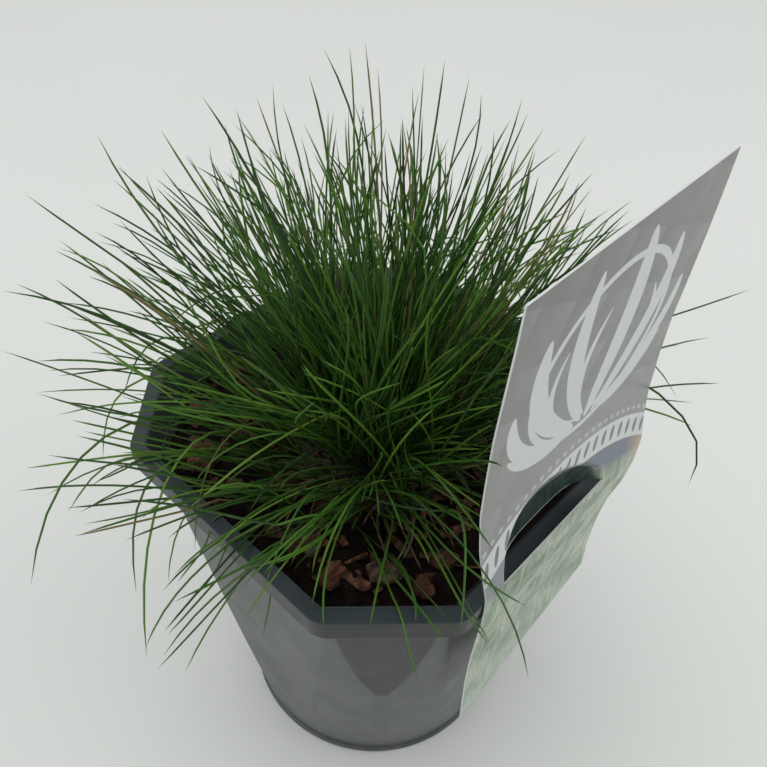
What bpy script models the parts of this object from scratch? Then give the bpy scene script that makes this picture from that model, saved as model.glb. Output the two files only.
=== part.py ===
# Potted bearskin fescue: a black-grey nursery pot with a square top and a round base, its potting
# soil, the crown of the grass, the tufts of needle-thin blades around it, loose bark chips on the
# soil, and the plastic plant label that is slipped over the rim.
# Metres, +Z up. The origin is the centre of the pot's flat underside, and the label faces -Y.

import math
import random

import bmesh
import bpy
from mathutils import Matrix, Vector

# Pot
RIM_HEIGHT = 0.156
RIM_FLAT = 0.0725  # axis to the outer edge of a long side
RIM_CHAMFER = 0.0823  # axis to the outer edge of a cut corner
RIM_CORNER_RADIUS = 0.0075
WALL_CORNER_RADIUS = 0.004
FLANGE_FLAT = 0.0050  # width of the flange on the long sides
FLANGE_CHAMFER = 0.0045  # width of the flange on the cut corners
FLANGE_THICKNESS = 0.0014
LIP_EDGE = 0.0004  # bevel along the top of the lip
LIP_HEIGHT = 0.0040
SKIRT_HEIGHT = 0.0088
SKIRT_STEP = 0.0005
WALL = 0.0012
BASE_RADIUS = 0.054
BASE_EDGE = 0.0015
CONE_TOP_RADIUS = 0.0781  # the round cone that cuts the corners of the wall, at the rim
FLAT_AT_BASE = 0.0543  # axis to the long sides' planes at the base
FLAT_AT_RIM = 0.0662
CHAMFER_AT_BASE = 0.0567  # axis to the cut corners' planes at the base
CHAMFER_AT_RIM = 0.0754
OUTER_LEVELS = (0.0275, 0.055, 0.0825, 0.105, 0.122, 0.134, 0.145)
INNER_LEVELS = (0.134, 0.105, 0.0825, 0.055, 0.0275)
CORNER_STEPS = 4
LONG_SIDE_STEPS = 5
CHAMFER_STEPS = 2
DRAIN_HOLES = 8
DRAIN_RADIUS = 0.0045
DRAIN_CIRCLE = 0.040
DRAIN_SEGMENTS = 10

# Soil and crown
GAP = 0.0003
SOIL_GAP = 0.0004
SOIL_DEPTH = 0.0116  # soil surface below the rim
CROWN = Vector((-0.0117, -0.0079, 0))
CROWN_RADIUS = 0.027
CROWN_HEIGHT = 0.010
CROWN_SIDES = 18
CROWN_RINGS = (0, 22, 45, 68)  # degrees up the dome

# Label
LABEL_WIDTH = 0.0810
LABEL_HEIGHT = 0.1835
LABEL_THICKNESS = 0.0005
LABEL_FOOT = Vector((0.0077, 0, 0.0783))  # middle of the bottom edge, before the bend
LABEL_ROLL = math.radians(2.55)
SLIT_HALF = 0.0252
SLIT_OFFSET = -0.0073  # middle of the slit, left of the middle of the label
SLIT_UP = 0.0808  # slit above the bottom edge
DIMPLE_HEIGHT = 0.0235
DIMPLE_SKEW = 0.35  # the dimple is taller on its left
DIMPLE_DEPTH = 0.0070

SOIL_TOP = RIM_HEIGHT - SOIL_DEPTH


def clear_scene():
    for item in list(bpy.data.objects):
        bpy.data.objects.remove(item, do_unlink=True)


def finish_of(name, colour, roughness, metallic=0.0):
    material = bpy.data.materials.new(name)
    material.use_nodes = True
    shader = material.node_tree.nodes["Principled BSDF"]
    shader.inputs["Base Color"].default_value = (*colour, 1.0)
    shader.inputs["Roughness"].default_value = roughness
    shader.inputs["Metallic"].default_value = metallic
    return material


def add_object(name, shape, material, sharp_degrees=40):
    bmesh.ops.recalc_face_normals(shape, faces=shape.faces)
    mesh = bpy.data.meshes.new(name)
    shape.to_mesh(mesh)
    shape.free()
    mesh.shade_smooth()
    mesh.set_sharp_from_angle(angle=math.radians(sharp_degrees))
    mesh.materials.append(material)
    item = bpy.data.objects.new(name, mesh)
    bpy.context.scene.collection.objects.link(item)
    return item


# Rings of points are joined by triangles that all lean the same way, so that two walls built from
# the same levels stay parallel.
def join_rings(shape, rings):
    loops = [[shape.verts.new(point) for point in ring] for ring in rings]
    for lower, upper in zip(loops, loops[1:]):
        for i, _ in enumerate(lower):
            j = (i + 1) % len(lower)
            shape.faces.new((lower[i], lower[j], upper[i]))
            shape.faces.new((lower[j], upper[j], upper[i]))
    return loops


def close_ring(shape, loop, centre):
    middle = shape.verts.new(centre)
    for i, _ in enumerate(loop):
        shape.faces.new((loop[i], loop[(i + 1) % len(loop)], middle))


# Pot: plan outlines
def octagon_ring(flat, chamfer, corner_radius, height):
    cos45 = math.cos(math.radians(45))
    corners = []
    for k in range(8):
        first, second = ((flat, chamfer), (chamfer, flat))[k % 2]
        first -= corner_radius
        second -= corner_radius
        along_first = (first - cos45 * second) / (1 - cos45**2)
        along_second = (second - cos45 * first) / (1 - cos45**2)
        turn = math.radians(45 * k)
        next_turn = math.radians(45 * (k + 1))
        centre = Vector(
            (
                along_first * math.cos(turn) + along_second * math.cos(next_turn),
                along_first * math.sin(turn) + along_second * math.sin(next_turn),
                height,
            )
        )
        arc = []
        for step in range(CORNER_STEPS + 1):
            angle = turn + (next_turn - turn) * step / CORNER_STEPS
            arc.append(centre + corner_radius * Vector((math.cos(angle), math.sin(angle), 0)))
        corners.append(arc)
    ring = []
    for k, arc in enumerate(corners):
        ring += arc
        steps = CHAMFER_STEPS if k % 2 == 0 else LONG_SIDE_STEPS
        start = arc[-1]
        end = corners[(k + 1) % 8][0]
        ring += [start.lerp(end, step / steps) for step in range(1, steps)]
    return ring


def wall_angles():
    ring = octagon_ring(RIM_FLAT - FLANGE_FLAT, RIM_CHAMFER - FLANGE_CHAMFER, WALL_CORNER_RADIUS, 0)
    return [math.atan2(point.y, point.x) for point in ring]


# The wall is a round cone cut by eight sloping planes, so it is an octagon above and a circle below.
def wall_ring(height, inset=0.0, level=None):
    share = height / RIM_HEIGHT
    cone = BASE_RADIUS + (CONE_TOP_RADIUS - BASE_RADIUS) * share
    flat = FLAT_AT_BASE + (FLAT_AT_RIM - FLAT_AT_BASE) * share
    chamfer = CHAMFER_AT_BASE + (CHAMFER_AT_RIM - CHAMFER_AT_BASE) * share
    ring = []
    for angle in wall_angles():
        reach = cone
        for k in range(8):
            facing = math.cos(angle - math.radians(45 * k))
            if facing > 0.5:  # planes more than 60 degrees away never cut the wall here
                reach = min(reach, (flat, chamfer)[k % 2] / facing)
        reach -= inset
        z = height if level is None else level
        ring.append(Vector((reach * math.cos(angle), reach * math.sin(angle), z)))
    return ring


# The wall's last centimetre flares out to the inner edge of the flange.
def collar_ring(outset, height):
    flat = RIM_FLAT - FLANGE_FLAT + outset
    chamfer = RIM_CHAMFER - FLANGE_CHAMFER + outset
    return octagon_ring(flat, chamfer, RIM_CORNER_RADIUS - FLANGE_FLAT, height)


def flange_ring(inset, drop):
    ring_radius = RIM_CORNER_RADIUS - inset
    return octagon_ring(RIM_FLAT - inset, RIM_CHAMFER - inset, ring_radius, RIM_HEIGHT - drop)


def make_pot(material):
    shape = bmesh.new()
    skirt_inner = SKIRT_STEP + WALL
    rings = [wall_ring(0, BASE_EDGE, 0), wall_ring(BASE_EDGE)]
    rings += [wall_ring(level) for level in OUTER_LEVELS]
    rings += [
        collar_ring(WALL, RIM_HEIGHT - FLANGE_THICKNESS),
        flange_ring(skirt_inner, FLANGE_THICKNESS),
        flange_ring(skirt_inner, SKIRT_HEIGHT),
        flange_ring(SKIRT_STEP, SKIRT_HEIGHT),
        flange_ring(SKIRT_STEP, LIP_HEIGHT),
        flange_ring(0, LIP_HEIGHT),
        flange_ring(0, LIP_EDGE),
        flange_ring(LIP_EDGE, 0),
        collar_ring(0, RIM_HEIGHT),
        wall_ring(SOIL_TOP, WALL),
    ]
    rings += [wall_ring(level, WALL) for level in INNER_LEVELS]
    rings.append(wall_ring(WALL, WALL))
    loops = join_rings(shape, rings)
    close_ring(shape, loops[0], (0, 0, 0))
    close_ring(shape, loops[-1], (0, 0, WALL))
    pot = add_object("pot", shape, material)
    holes = pot.modifiers.new("drain holes", "BOOLEAN")
    holes.operation = "DIFFERENCE"
    holes.object = make_drain_cutters(material)
    return pot


def make_drain_cutters(material):
    shape = bmesh.new()
    for k in range(DRAIN_HOLES):
        angle = 2 * math.pi * (k + 0.5) / DRAIN_HOLES
        place = Vector((DRAIN_CIRCLE * math.cos(angle), DRAIN_CIRCLE * math.sin(angle), 0))
        bmesh.ops.create_cone(
            shape,
            cap_ends=True,
            segments=DRAIN_SEGMENTS,
            radius1=DRAIN_RADIUS,
            radius2=DRAIN_RADIUS,
            depth=4 * WALL,
            matrix=Matrix.Translation(place),
        )
    cutter = add_object("drain_hole_cutters", shape, material)
    cutter.hide_render = True
    cutter.display_type = "WIRE"
    return cutter


# Soil: fills the pot to a little below the rim, following the wall at a small gap
def make_soil(material):
    shape = bmesh.new()
    inset = WALL + SOIL_GAP
    rings = [wall_ring(SOIL_TOP, inset)]
    rings += [wall_ring(level, inset) for level in INNER_LEVELS]
    rings.append(wall_ring(WALL, inset, WALL + SOIL_GAP))
    loops = join_rings(shape, rings)
    close_ring(shape, loops[0], (0, 0, SOIL_TOP))
    close_ring(shape, loops[-1], (0, 0, WALL + SOIL_GAP))
    return add_object("potting_soil", shape, material)


# Crown: the low dome of packed stalk bases that the blades grow from
def make_crown(material):
    shape = bmesh.new()
    floor = SOIL_TOP + GAP
    rings = []
    for degrees in CROWN_RINGS:
        angle = math.radians(degrees)
        radius = CROWN_RADIUS * math.cos(angle)
        rise = CROWN_HEIGHT * math.sin(angle)
        ring = []
        for k in range(CROWN_SIDES):
            turn = 2 * math.pi * k / CROWN_SIDES
            ring.append(CROWN + Vector((radius * math.cos(turn), radius * math.sin(turn), floor + rise)))
        rings.append(ring)
    loops = join_rings(shape, rings)
    close_ring(shape, loops[0], CROWN + Vector((0, 0, floor)))
    close_ring(shape, loops[-1], CROWN + Vector((0, 0, floor + CROWN_HEIGHT)))
    return add_object("crown", shape, material)


# Tufts: each stands for one bundle of blades. Rings lean out further and further, and the last
# ring hangs over the rim in the gaps of the ring above it.
TUFT_SIDES = 7
TUFT_STEPS = 6
TUFT_FOOT = 0.0011  # radius at the crown
TUFT_CLEARANCE = 0.0014  # from the crown's surface to the foot
FOOT_SPREAD = 0.78  # how far down the dome a foot stands, as a share of its tuft's lean
LENGTH_SPREAD = (0.96, 1.03)
TUFT_RINGS = (
    # count, lean from upright, length, sag, widest radius, first direction
    (1, 3, 0.117, 0.00, 0.0125, 0),
    (6, 24, 0.116, 0.02, 0.0120, 15),
    (12, 46, 0.112, 0.05, 0.0105, 20),
    (12, 66, 0.102, 0.08, 0.0095, 20),
)
SHORT_SIDE = 215  # low tufts are shortest in this direction
SHORT_SHARE = 0.26
HANGING_STEPS = 8
HANGING_FOOT_LEAN = 84
HANGING_DIRECTIONS = (5, 35, 65, 95, 125, 155, 185, 215, 243, 335)
HANGING_RADIUS = 0.0030
HANGING_PAST_RIM = 0.018
HANGING_HANDLE = 0.68  # share of the reach at which the curve's handle stands
HANGING_RISE = 0.068
HANGING_DROP = 0.028
LABEL_SIDE_LIMIT = -0.062  # tufts that grow towards the label stop here
LABEL_SIDE_HALF = 0.062


def crown_point(direction, lean):
    spot = math.radians(FOOT_SPREAD * lean)
    turn = math.radians(direction)
    out = (CROWN_RADIUS + TUFT_CLEARANCE) * math.sin(spot)
    up = (CROWN_HEIGHT + TUFT_CLEARANCE) * math.cos(spot)
    return CROWN + Vector((out * math.cos(turn), out * math.sin(turn), SOIL_TOP + GAP + up))


def heading(direction, lean):
    turn = math.radians(direction)
    tilt = math.radians(lean)
    out = math.sin(tilt)
    return Vector((out * math.cos(turn), out * math.sin(turn), math.cos(tilt)))


def reaches_label(start, way, length):
    crossing = (LABEL_SIDE_LIMIT - start.y) / way.y if way.y < 0 else math.inf
    if crossing > length:
        return False
    return min(abs((start + way * far).x) for far in (crossing, length)) < LABEL_SIDE_HALF


def leaning_path(direction, lean, length, sag):
    start = crown_point(direction, lean)
    way = heading(direction, lean)
    while reaches_label(start, way, length):
        length *= 0.97
    drop = Vector((0, 0, -sag * length))
    shares = [k / TUFT_STEPS for k in range(TUFT_STEPS + 1)]
    return [start + way * length * share + drop * share**2 for share in shares]


def way_to_rim(direction):
    nearest = math.inf
    for k in range(8):
        side = math.radians(45 * k)
        facing = math.cos(math.radians(direction) - side)
        if facing > 0:
            away = (RIM_FLAT, RIM_CHAMFER)[k % 2] - CROWN.x * math.cos(side) - CROWN.y * math.sin(side)
            nearest = min(nearest, away / facing)
    return nearest


def hanging_path(direction):
    start = crown_point(direction, HANGING_FOOT_LEAN)
    turn = math.radians(direction)
    out = Vector((math.cos(turn), math.sin(turn), 0))
    reach = way_to_rim(direction) + HANGING_PAST_RIM
    handle = CROWN + out * reach * HANGING_HANDLE + Vector((0, 0, RIM_HEIGHT + HANGING_RISE))
    tip = CROWN + out * reach + Vector((0, 0, RIM_HEIGHT - HANGING_DROP))
    path = []
    for k in range(HANGING_STEPS + 1):
        t = k / HANGING_STEPS
        path.append((1 - t) ** 2 * start + 2 * t * (1 - t) * handle + t**2 * tip)
    return path


# A spindle along a path: a narrow foot, a wide middle and a pointed end
def add_spindle(name, path, widest, material):
    shape = bmesh.new()
    rings = []
    for k, point in enumerate(path[:-1]):
        t = k / (len(path) - 1)
        ahead = path[k + 1]
        behind = path[max(k - 1, 0)]
        turn = (ahead - behind).to_track_quat("Z", "X")
        radius = TUFT_FOOT + (widest - TUFT_FOOT) * math.sin(math.pi * t**1.15) ** 0.9
        ring = []
        for side in range(TUFT_SIDES):
            angle = 2 * math.pi * side / TUFT_SIDES
            ring.append(point + turn @ Vector((radius * math.cos(angle), radius * math.sin(angle), 0)))
        rings.append(ring)
    loops = join_rings(shape, rings)
    shape.faces.new(list(reversed(loops[0])))
    close_ring(shape, loops[-1], path[-1])
    return add_object(name, shape, material)


def make_tufts(material):
    rng = random.Random(7)
    number = 0
    for count, lean, length, sag, widest, first in TUFT_RINGS:
        for k in range(count):
            number += 1
            direction = first + 360 * k / count
            facing = max(0.0, math.cos(math.radians(direction - SHORT_SIDE)))
            shorter = 1 - SHORT_SHARE * (facing * math.sin(math.radians(lean))) ** 2
            path = leaning_path(direction, lean, length * shorter * rng.uniform(*LENGTH_SPREAD), sag)
            kept = min(1.0, (path[-1] - path[0]).length / length)
            add_spindle(f"tuft_{number:02d}", path, widest * kept, material)
    for direction in HANGING_DIRECTIONS:
        number += 1
        add_spindle(f"tuft_{number:02d}", hanging_path(direction), HANGING_RADIUS, material)


# Bark chips: flat broken pieces lying on the soil
BARK_CHIPS = (
    # place on the soil, length, width, thickness, turn
    (-0.0545, -0.0320, 0.013, 0.008, 0.0030, 20),
    (-0.0430, -0.0420, 0.015, 0.010, 0.0030, 115),
    (-0.0390, -0.0540, 0.009, 0.007, 0.0022, 60),
    (-0.0275, -0.0520, 0.011, 0.008, 0.0026, 150),
    (-0.0510, -0.0200, 0.011, 0.007, 0.0026, 35),
    (-0.0560, -0.0070, 0.009, 0.006, 0.0020, 80),
    (-0.0550, 0.0150, 0.012, 0.008, 0.0024, 10),
    (-0.0530, 0.0320, 0.014, 0.009, 0.0028, 75),
    (-0.0390, 0.0500, 0.013, 0.008, 0.0024, 130),
    (0.0380, 0.0400, 0.014, 0.009, 0.0026, 40),
    (0.0500, 0.0060, 0.012, 0.008, 0.0022, 95),
    (0.0100, 0.0520, 0.011, 0.007, 0.0024, 160),
)
CHIP_SIDES = 7
CHIP_LAYERS = ((0.86, 0), (1.0, 0.45), (0.84, 1.0))  # size of the outline, height up the chip


def make_chips(material):
    rng = random.Random(11)
    for number, (x, y, length, width, thickness, degrees) in enumerate(BARK_CHIPS, 1):
        shape = bmesh.new()
        turn = Matrix.Rotation(math.radians(degrees), 3, "Z")
        outline = []
        for k in range(CHIP_SIDES):
            angle = 2 * math.pi * (k + rng.uniform(-0.25, 0.25)) / CHIP_SIDES
            reach = rng.uniform(0.8, 1.0)
            outline.append((reach * length / 2 * math.cos(angle), reach * width / 2 * math.sin(angle)))
        rings = []
        for scale, rise in CHIP_LAYERS:
            ring = []
            for px, py in outline:
                spot = turn @ Vector((px * scale, py * scale, 0))
                z = SOIL_TOP + GAP + thickness * rise
                ring.append(Vector((x + spot.x, y + spot.y, z)))
            rings.append(ring)
        loops = join_rings(shape, rings)
        shape.faces.new(list(reversed(loops[0])))
        shape.faces.new(loops[-1])
        add_object(f"bark_chip_{number:02d}", shape, material, 25)


# Label: a sheet with a straight slit. The flange goes through the slit, and the sheet above the
# slit dips inwards over the flange in a half-moon dimple.
LABEL_BEND = (
    # height up the sheet, stand-off of the left edge and of the right edge from the pot's axis
    (0.000, 0.0712, 0.0675),
    (0.015, 0.0710, 0.0669),
    (0.029, 0.0709, 0.0673),
    (0.044, 0.0713, 0.0687),
    (0.058, 0.0722, 0.0717),
    (0.0725, 0.0731, 0.0731),
    (SLIT_UP, 0.0731, 0.0731),
    (0.088, 0.0714, 0.0717),
    (0.101, 0.0689, 0.0702),
    (0.116, 0.0675, 0.0697),
    (0.130, 0.0676, 0.0697),
    (0.145, 0.0680, 0.0705),
    (0.160, 0.0690, 0.0712),
    (0.172, 0.0698, 0.0716),
    (LABEL_HEIGHT, 0.0704, 0.0719),
)
LABEL_ROWS_BELOW = (0, 0.022, 0.042, 0.058, 0.0725)
LABEL_ROWS_ABOVE = (0.0045, 0.009, 0.0135, 0.018, 0.0225, 0.028, 0.037, 0.051, 0.067, 0.085)  # above the slit
LIP_LIFT = 0.0009  # the dimple lifts the upper lip of the slit by this much
SIDE_COLUMNS = 3  # beside the slit
SLIT_COLUMNS = 8


# The sheet's middle stands this far from the pot's axis, eased from one height to the next.
def stand_off(across, up):
    for (low, low_left, low_right), (high, high_left, high_right) in zip(LABEL_BEND, LABEL_BEND[1:]):
        if up <= high:
            break
    t = min(1.0, (up - low) / (high - low))
    t = t * t * (3 - 2 * t)
    left = low_left + (high_left - low_left) * t
    right = low_right + (high_right - low_right) * t
    return left + (right - left) * (across / LABEL_WIDTH + 0.5)


def dimple(across, up):
    share = (across - SLIT_OFFSET) / SLIT_HALF
    reach = 1 - share**2
    if reach <= 0 or up < SLIT_UP:
        return 0.0
    top = DIMPLE_HEIGHT * math.sqrt(reach) * (1 - DIMPLE_SKEW * share)
    fall = 1 - (up - SLIT_UP) / top
    if fall <= 0:
        return 0.0
    return DIMPLE_DEPTH * (1 - (1 - reach) ** 2) * math.sin(0.5 * math.pi * fall)


def label_point(across, up, dip):
    spot = Matrix.Rotation(LABEL_ROLL, 3, "Y").inverted() @ Vector((across, 0, up))
    spot += LABEL_FOOT
    spot.y = -(stand_off(across, up) - dip)
    return spot


def label_columns():
    half = LABEL_WIDTH / 2
    left = SLIT_OFFSET - SLIT_HALF
    right = SLIT_OFFSET + SLIT_HALF
    columns = [-half + (left + half) * k / SIDE_COLUMNS for k in range(SIDE_COLUMNS)]
    columns += [left + (right - left) * k / SLIT_COLUMNS for k in range(SLIT_COLUMNS)]
    columns += [right + (half - right) * k / SIDE_COLUMNS for k in range(SIDE_COLUMNS + 1)]
    return columns


def slit_upper_lip(across):
    dip = dimple(across, SLIT_UP)
    return label_point(across, SLIT_UP + GAP + LIP_LIFT * dip / DIMPLE_DEPTH, dip)


def make_label(material):
    shape = bmesh.new()
    columns = label_columns()
    below = []
    for up in LABEL_ROWS_BELOW:
        below.append([shape.verts.new(label_point(across, up, 0)) for across in columns])
    lower_lip = [shape.verts.new(label_point(across, SLIT_UP, 0)) for across in columns]
    upper_lip = list(lower_lip)
    for k, across in enumerate(columns):
        if abs(across - SLIT_OFFSET) < 0.99 * SLIT_HALF:
            upper_lip[k] = shape.verts.new(slit_upper_lip(across))
    above = []
    for up in [SLIT_UP + rise for rise in LABEL_ROWS_ABOVE] + [LABEL_HEIGHT]:
        spots = [label_point(across, up, dimple(across, up)) for across in columns]
        above.append([shape.verts.new(spot) for spot in spots])
    for strip in ([*below, lower_lip], [upper_lip, *above]):
        for low, high in zip(strip, strip[1:]):
            for k in range(len(columns) - 1):
                shape.faces.new((low[k], low[k + 1], high[k + 1], high[k]))
    label = add_object("plant_label", shape, material)
    sheet = label.modifiers.new("sheet", "SOLIDIFY")
    sheet.thickness = LABEL_THICKNESS
    sheet.offset = 0
    return label


def main():
    clear_scene()
    pot_plastic = finish_of("pot plastic", (0.035, 0.045, 0.052), 0.42)
    compost = finish_of("compost", (0.018, 0.012, 0.009), 0.95)
    stalks = finish_of("stalk bases", (0.28, 0.30, 0.13), 0.6)
    blades = finish_of("blades", (0.06, 0.14, 0.03), 0.5)
    bark = finish_of("bark", (0.11, 0.045, 0.025), 0.85)
    print_sheet = finish_of("printed label", (0.42, 0.44, 0.42), 0.35)
    make_pot(pot_plastic)
    make_soil(compost)
    make_crown(stalks)
    make_tufts(blades)
    make_chips(bark)
    make_label(print_sheet)


main()
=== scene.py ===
# Potted bearskin fescue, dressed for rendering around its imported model.
# Metres, +Z up, origin under the middle of the pot. The plant label hangs on the -Y side.

import math

import bpy
import numpy as np
from mathutils import Euler, Matrix, Vector


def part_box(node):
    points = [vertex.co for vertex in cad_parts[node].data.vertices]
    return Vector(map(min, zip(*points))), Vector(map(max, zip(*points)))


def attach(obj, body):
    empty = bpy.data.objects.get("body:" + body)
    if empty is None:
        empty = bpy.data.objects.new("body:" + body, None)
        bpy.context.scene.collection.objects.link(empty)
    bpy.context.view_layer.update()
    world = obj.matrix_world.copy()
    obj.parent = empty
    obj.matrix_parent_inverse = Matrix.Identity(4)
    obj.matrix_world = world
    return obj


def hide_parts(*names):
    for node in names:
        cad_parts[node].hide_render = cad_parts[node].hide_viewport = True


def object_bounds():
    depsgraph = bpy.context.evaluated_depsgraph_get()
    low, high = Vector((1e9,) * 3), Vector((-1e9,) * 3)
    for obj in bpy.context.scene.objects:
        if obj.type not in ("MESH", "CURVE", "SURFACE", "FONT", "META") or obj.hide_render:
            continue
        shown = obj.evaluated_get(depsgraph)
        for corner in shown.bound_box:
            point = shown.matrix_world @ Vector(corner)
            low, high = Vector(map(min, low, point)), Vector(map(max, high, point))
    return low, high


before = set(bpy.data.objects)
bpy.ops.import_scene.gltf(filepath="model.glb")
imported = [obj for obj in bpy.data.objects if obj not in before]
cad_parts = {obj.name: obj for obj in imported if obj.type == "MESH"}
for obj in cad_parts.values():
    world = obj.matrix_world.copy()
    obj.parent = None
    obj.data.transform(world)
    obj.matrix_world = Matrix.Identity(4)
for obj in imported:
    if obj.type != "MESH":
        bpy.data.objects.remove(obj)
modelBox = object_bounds()
print("frame loaded with", len(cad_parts), "nodes")


# Working with pieces


def dropSelection():
    bpy.ops.object.select_all(action="DESELECT")


def selectMesh(action):
    bpy.ops.mesh.select_all(action=action)


def extrudeBy(height):
    bpy.ops.mesh.extrude_region_move(TRANSFORM_OT_translate={"value": (0, 0, height)})


def pointsOf(piece):
    return np.array([vertex.co for vertex in piece.data.vertices])


def movePoints(piece, points):
    piece.data.vertices.foreach_set("co", points.ravel().astype(np.float32))
    piece.data.update()


def makeActive(piece):
    dropSelection()
    piece.select_set(True)
    bpy.context.view_layer.objects.active = piece


def startEdit(piece, kind="FACE"):
    makeActive(piece)
    bpy.ops.object.mode_set(mode="EDIT")
    bpy.ops.mesh.select_mode(type=kind)


def endEdit():
    bpy.ops.object.mode_set(mode="OBJECT")


def pick(piece, kind, test):
    # in edit mode, selects the edges or faces whose middle and direction pass the test
    bpy.ops.mesh.select_mode(type=kind)
    selectMesh("DESELECT")
    bpy.ops.object.mode_set(mode="OBJECT")
    mesh = piece.data
    if kind == "FACE":
        for face in mesh.polygons:
            face.select = test(face.center, face.normal)
    else:
        for edge in mesh.edges:
            ends = [mesh.vertices[k].co for k in edge.vertices]
            edge.select = test((ends[0] + ends[1]) / 2, ends[1] - ends[0])
    bpy.ops.object.mode_set(mode="EDIT")


def addModifier(piece, kind, **values):
    makeActive(piece)
    modifier = piece.modifiers.new(kind.lower(), kind)
    for name, value in values.items():
        setattr(modifier, name, value)
    bpy.ops.object.modifier_apply(modifier=modifier.name)


def joinPieces(pieces, name):
    makeActive(pieces[0])
    for piece in pieces[1:]:
        piece.select_set(True)
    if len(pieces) > 1:
        bpy.ops.object.join()
    joined = bpy.context.object
    bpy.ops.object.transform_apply(location=True, rotation=True, scale=True)
    joined.name = name
    joined.data.name = name
    return joined


def settle(piece, node, slotName, *materials):
    # a finished piece gets its materials, stands for its node and rides on the one body
    piece.data.materials.clear()
    for material in materials:
        piece.data.materials.append(material)
    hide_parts(node)
    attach(piece, "root")


def meshPiece(name, points, faces):
    mesh = bpy.data.meshes.new(name)
    mesh.from_pydata(points.tolist(), [], faces)
    mesh.update()
    piece = bpy.data.objects.new(name, mesh)
    bpy.context.scene.collection.objects.link(piece)
    return piece


def nodePoints(node):
    return np.array([v.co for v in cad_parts[node].data.vertices], float)


# Building materials


def newMaterial(name, **values):
    material = bpy.data.materials.new(name)
    material.use_nodes = True
    shader = material.node_tree.nodes["Principled BSDF"]
    for socket, value in values.items():
        shader.inputs[socket.replace("_", " ")].default_value = value
    return material, material.node_tree, shader


def put(tree, kind, **values):
    # adds a node; plain names set its properties, and in_X or in_0 sets the input X or 0
    node = tree.nodes.new("ShaderNode" + kind)
    for name, value in values.items():
        if name.startswith("in_"):
            key = name[3:].replace("_", " ")
            socket = node.inputs[int(key)] if key.isdigit() else node.inputs[key]
            if isinstance(value, bpy.types.NodeSocket):
                tree.links.new(value, socket)
            else:
                socket.default_value = value
        else:
            setattr(node, name, value)
    return node


def maths(tree, operation, first, second=0.0, third=0.0):
    node = put(tree, "Math", operation=operation, in_0=first, in_1=second, in_2=third)
    return node.outputs[0]


def times(tree, first, second):
    return maths(tree, "MULTIPLY", first, second)


def plus(tree, first, second):
    return maths(tree, "ADD", first, second)


def minus(tree, first, second):
    return maths(tree, "SUBTRACT", first, second)


def squares(tree, first, second):
    return plus(tree, times(tree, first, first), times(tree, second, second))


def ramp(tree, factor, *stops):
    node = put(tree, "ValToRGB", in_Fac=factor)
    band = node.color_ramp.elements
    while len(band) < len(stops):
        band.new(0.5)
    for spot, (place, colour) in zip(band, stops):
        spot.position = place
        spot.color = (*colour, 1)
    return node.outputs["Color"]


def blend(tree, factor, first, second):
    node = put(tree, "Mix", data_type="RGBA")
    for socket, value in ((node.inputs[0], factor), (node.inputs[6], first), (node.inputs[7], second)):
        if isinstance(value, bpy.types.NodeSocket):
            tree.links.new(value, socket)
        elif isinstance(value, tuple):
            socket.default_value = (*value, 1)
        else:
            socket.default_value = value
    return node.outputs[2]


def remap(tree, value, low, high, toLow=0.0, toHigh=1.0):
    node = put(tree, "MapRange", in_0=value, in_1=low, in_2=high, in_3=toLow, in_4=toHigh)
    return node.outputs[0]


def noiseAt(tree, place, scale, detail=3.0, roughness=0.5):
    node = put(tree, "TexNoise", in_Vector=place, in_Scale=scale, in_Detail=detail, in_Roughness=roughness)
    return node.outputs["Fac"]


def objectPlace(tree, scale=(1, 1, 1), turn=(0, 0, 0)):
    coordinates = put(tree, "TexCoord")
    mapping = put(tree, "Mapping", in_Vector=coordinates.outputs["Object"])
    mapping.inputs["Scale"].default_value = scale
    mapping.inputs["Rotation"].default_value = turn
    return mapping.outputs[0]


def addBump(tree, shader, height, strength, distance=0.001):
    bump = put(tree, "Bump", in_Height=height, in_Strength=strength, in_Distance=distance)
    tree.links.new(bump.outputs["Normal"], shader.inputs["Normal"])


def newGroup(name, inputs, outputs):
    tree = bpy.data.node_groups.new(name, "ShaderNodeTree")
    for label, kind, value in inputs:
        socket = tree.interface.new_socket(label, in_out="INPUT", socket_type="NodeSocket" + kind)
        if value is not None:
            socket.default_value = value
    for label in outputs:
        tree.interface.new_socket(label, in_out="OUTPUT", socket_type="NodeSocketFloat")
    entry = tree.nodes.new("NodeGroupInput").outputs
    return tree, entry, tree.nodes.new("NodeGroupOutput").inputs


def useGroup(tree, group, **values):
    node = tree.nodes.new("ShaderNodeGroup")
    node.node_tree = group
    for name, value in values.items():
        if isinstance(value, bpy.types.NodeSocket):
            tree.links.new(value, node.inputs[name])
        else:
            node.inputs[name].default_value = value
    return node.outputs


def makeSpeckGroup():
    # scattered specks of compost and dust: small round spots whose size varies from cell to cell
    inputs = (("place", "Vector", None), ("spotsPerMetre", "Float", 300.0), ("share", "Float", 0.1))
    tree, entry, out = newGroup("specks", inputs, ("mask",))
    cells = put(tree, "TexVoronoi", in_Vector=entry["place"], in_Scale=entry["spotsPerMetre"])
    chance = put(tree, "SeparateColor", in_0=cells.outputs["Color"])
    size = times(tree, chance.outputs["Green"], 0.34)
    near = maths(tree, "LESS_THAN", cells.outputs["Distance"], size)
    kept = maths(tree, "LESS_THAN", chance.outputs["Red"], entry["share"])
    tree.links.new(times(tree, near, kept), out["mask"])
    return tree


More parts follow.
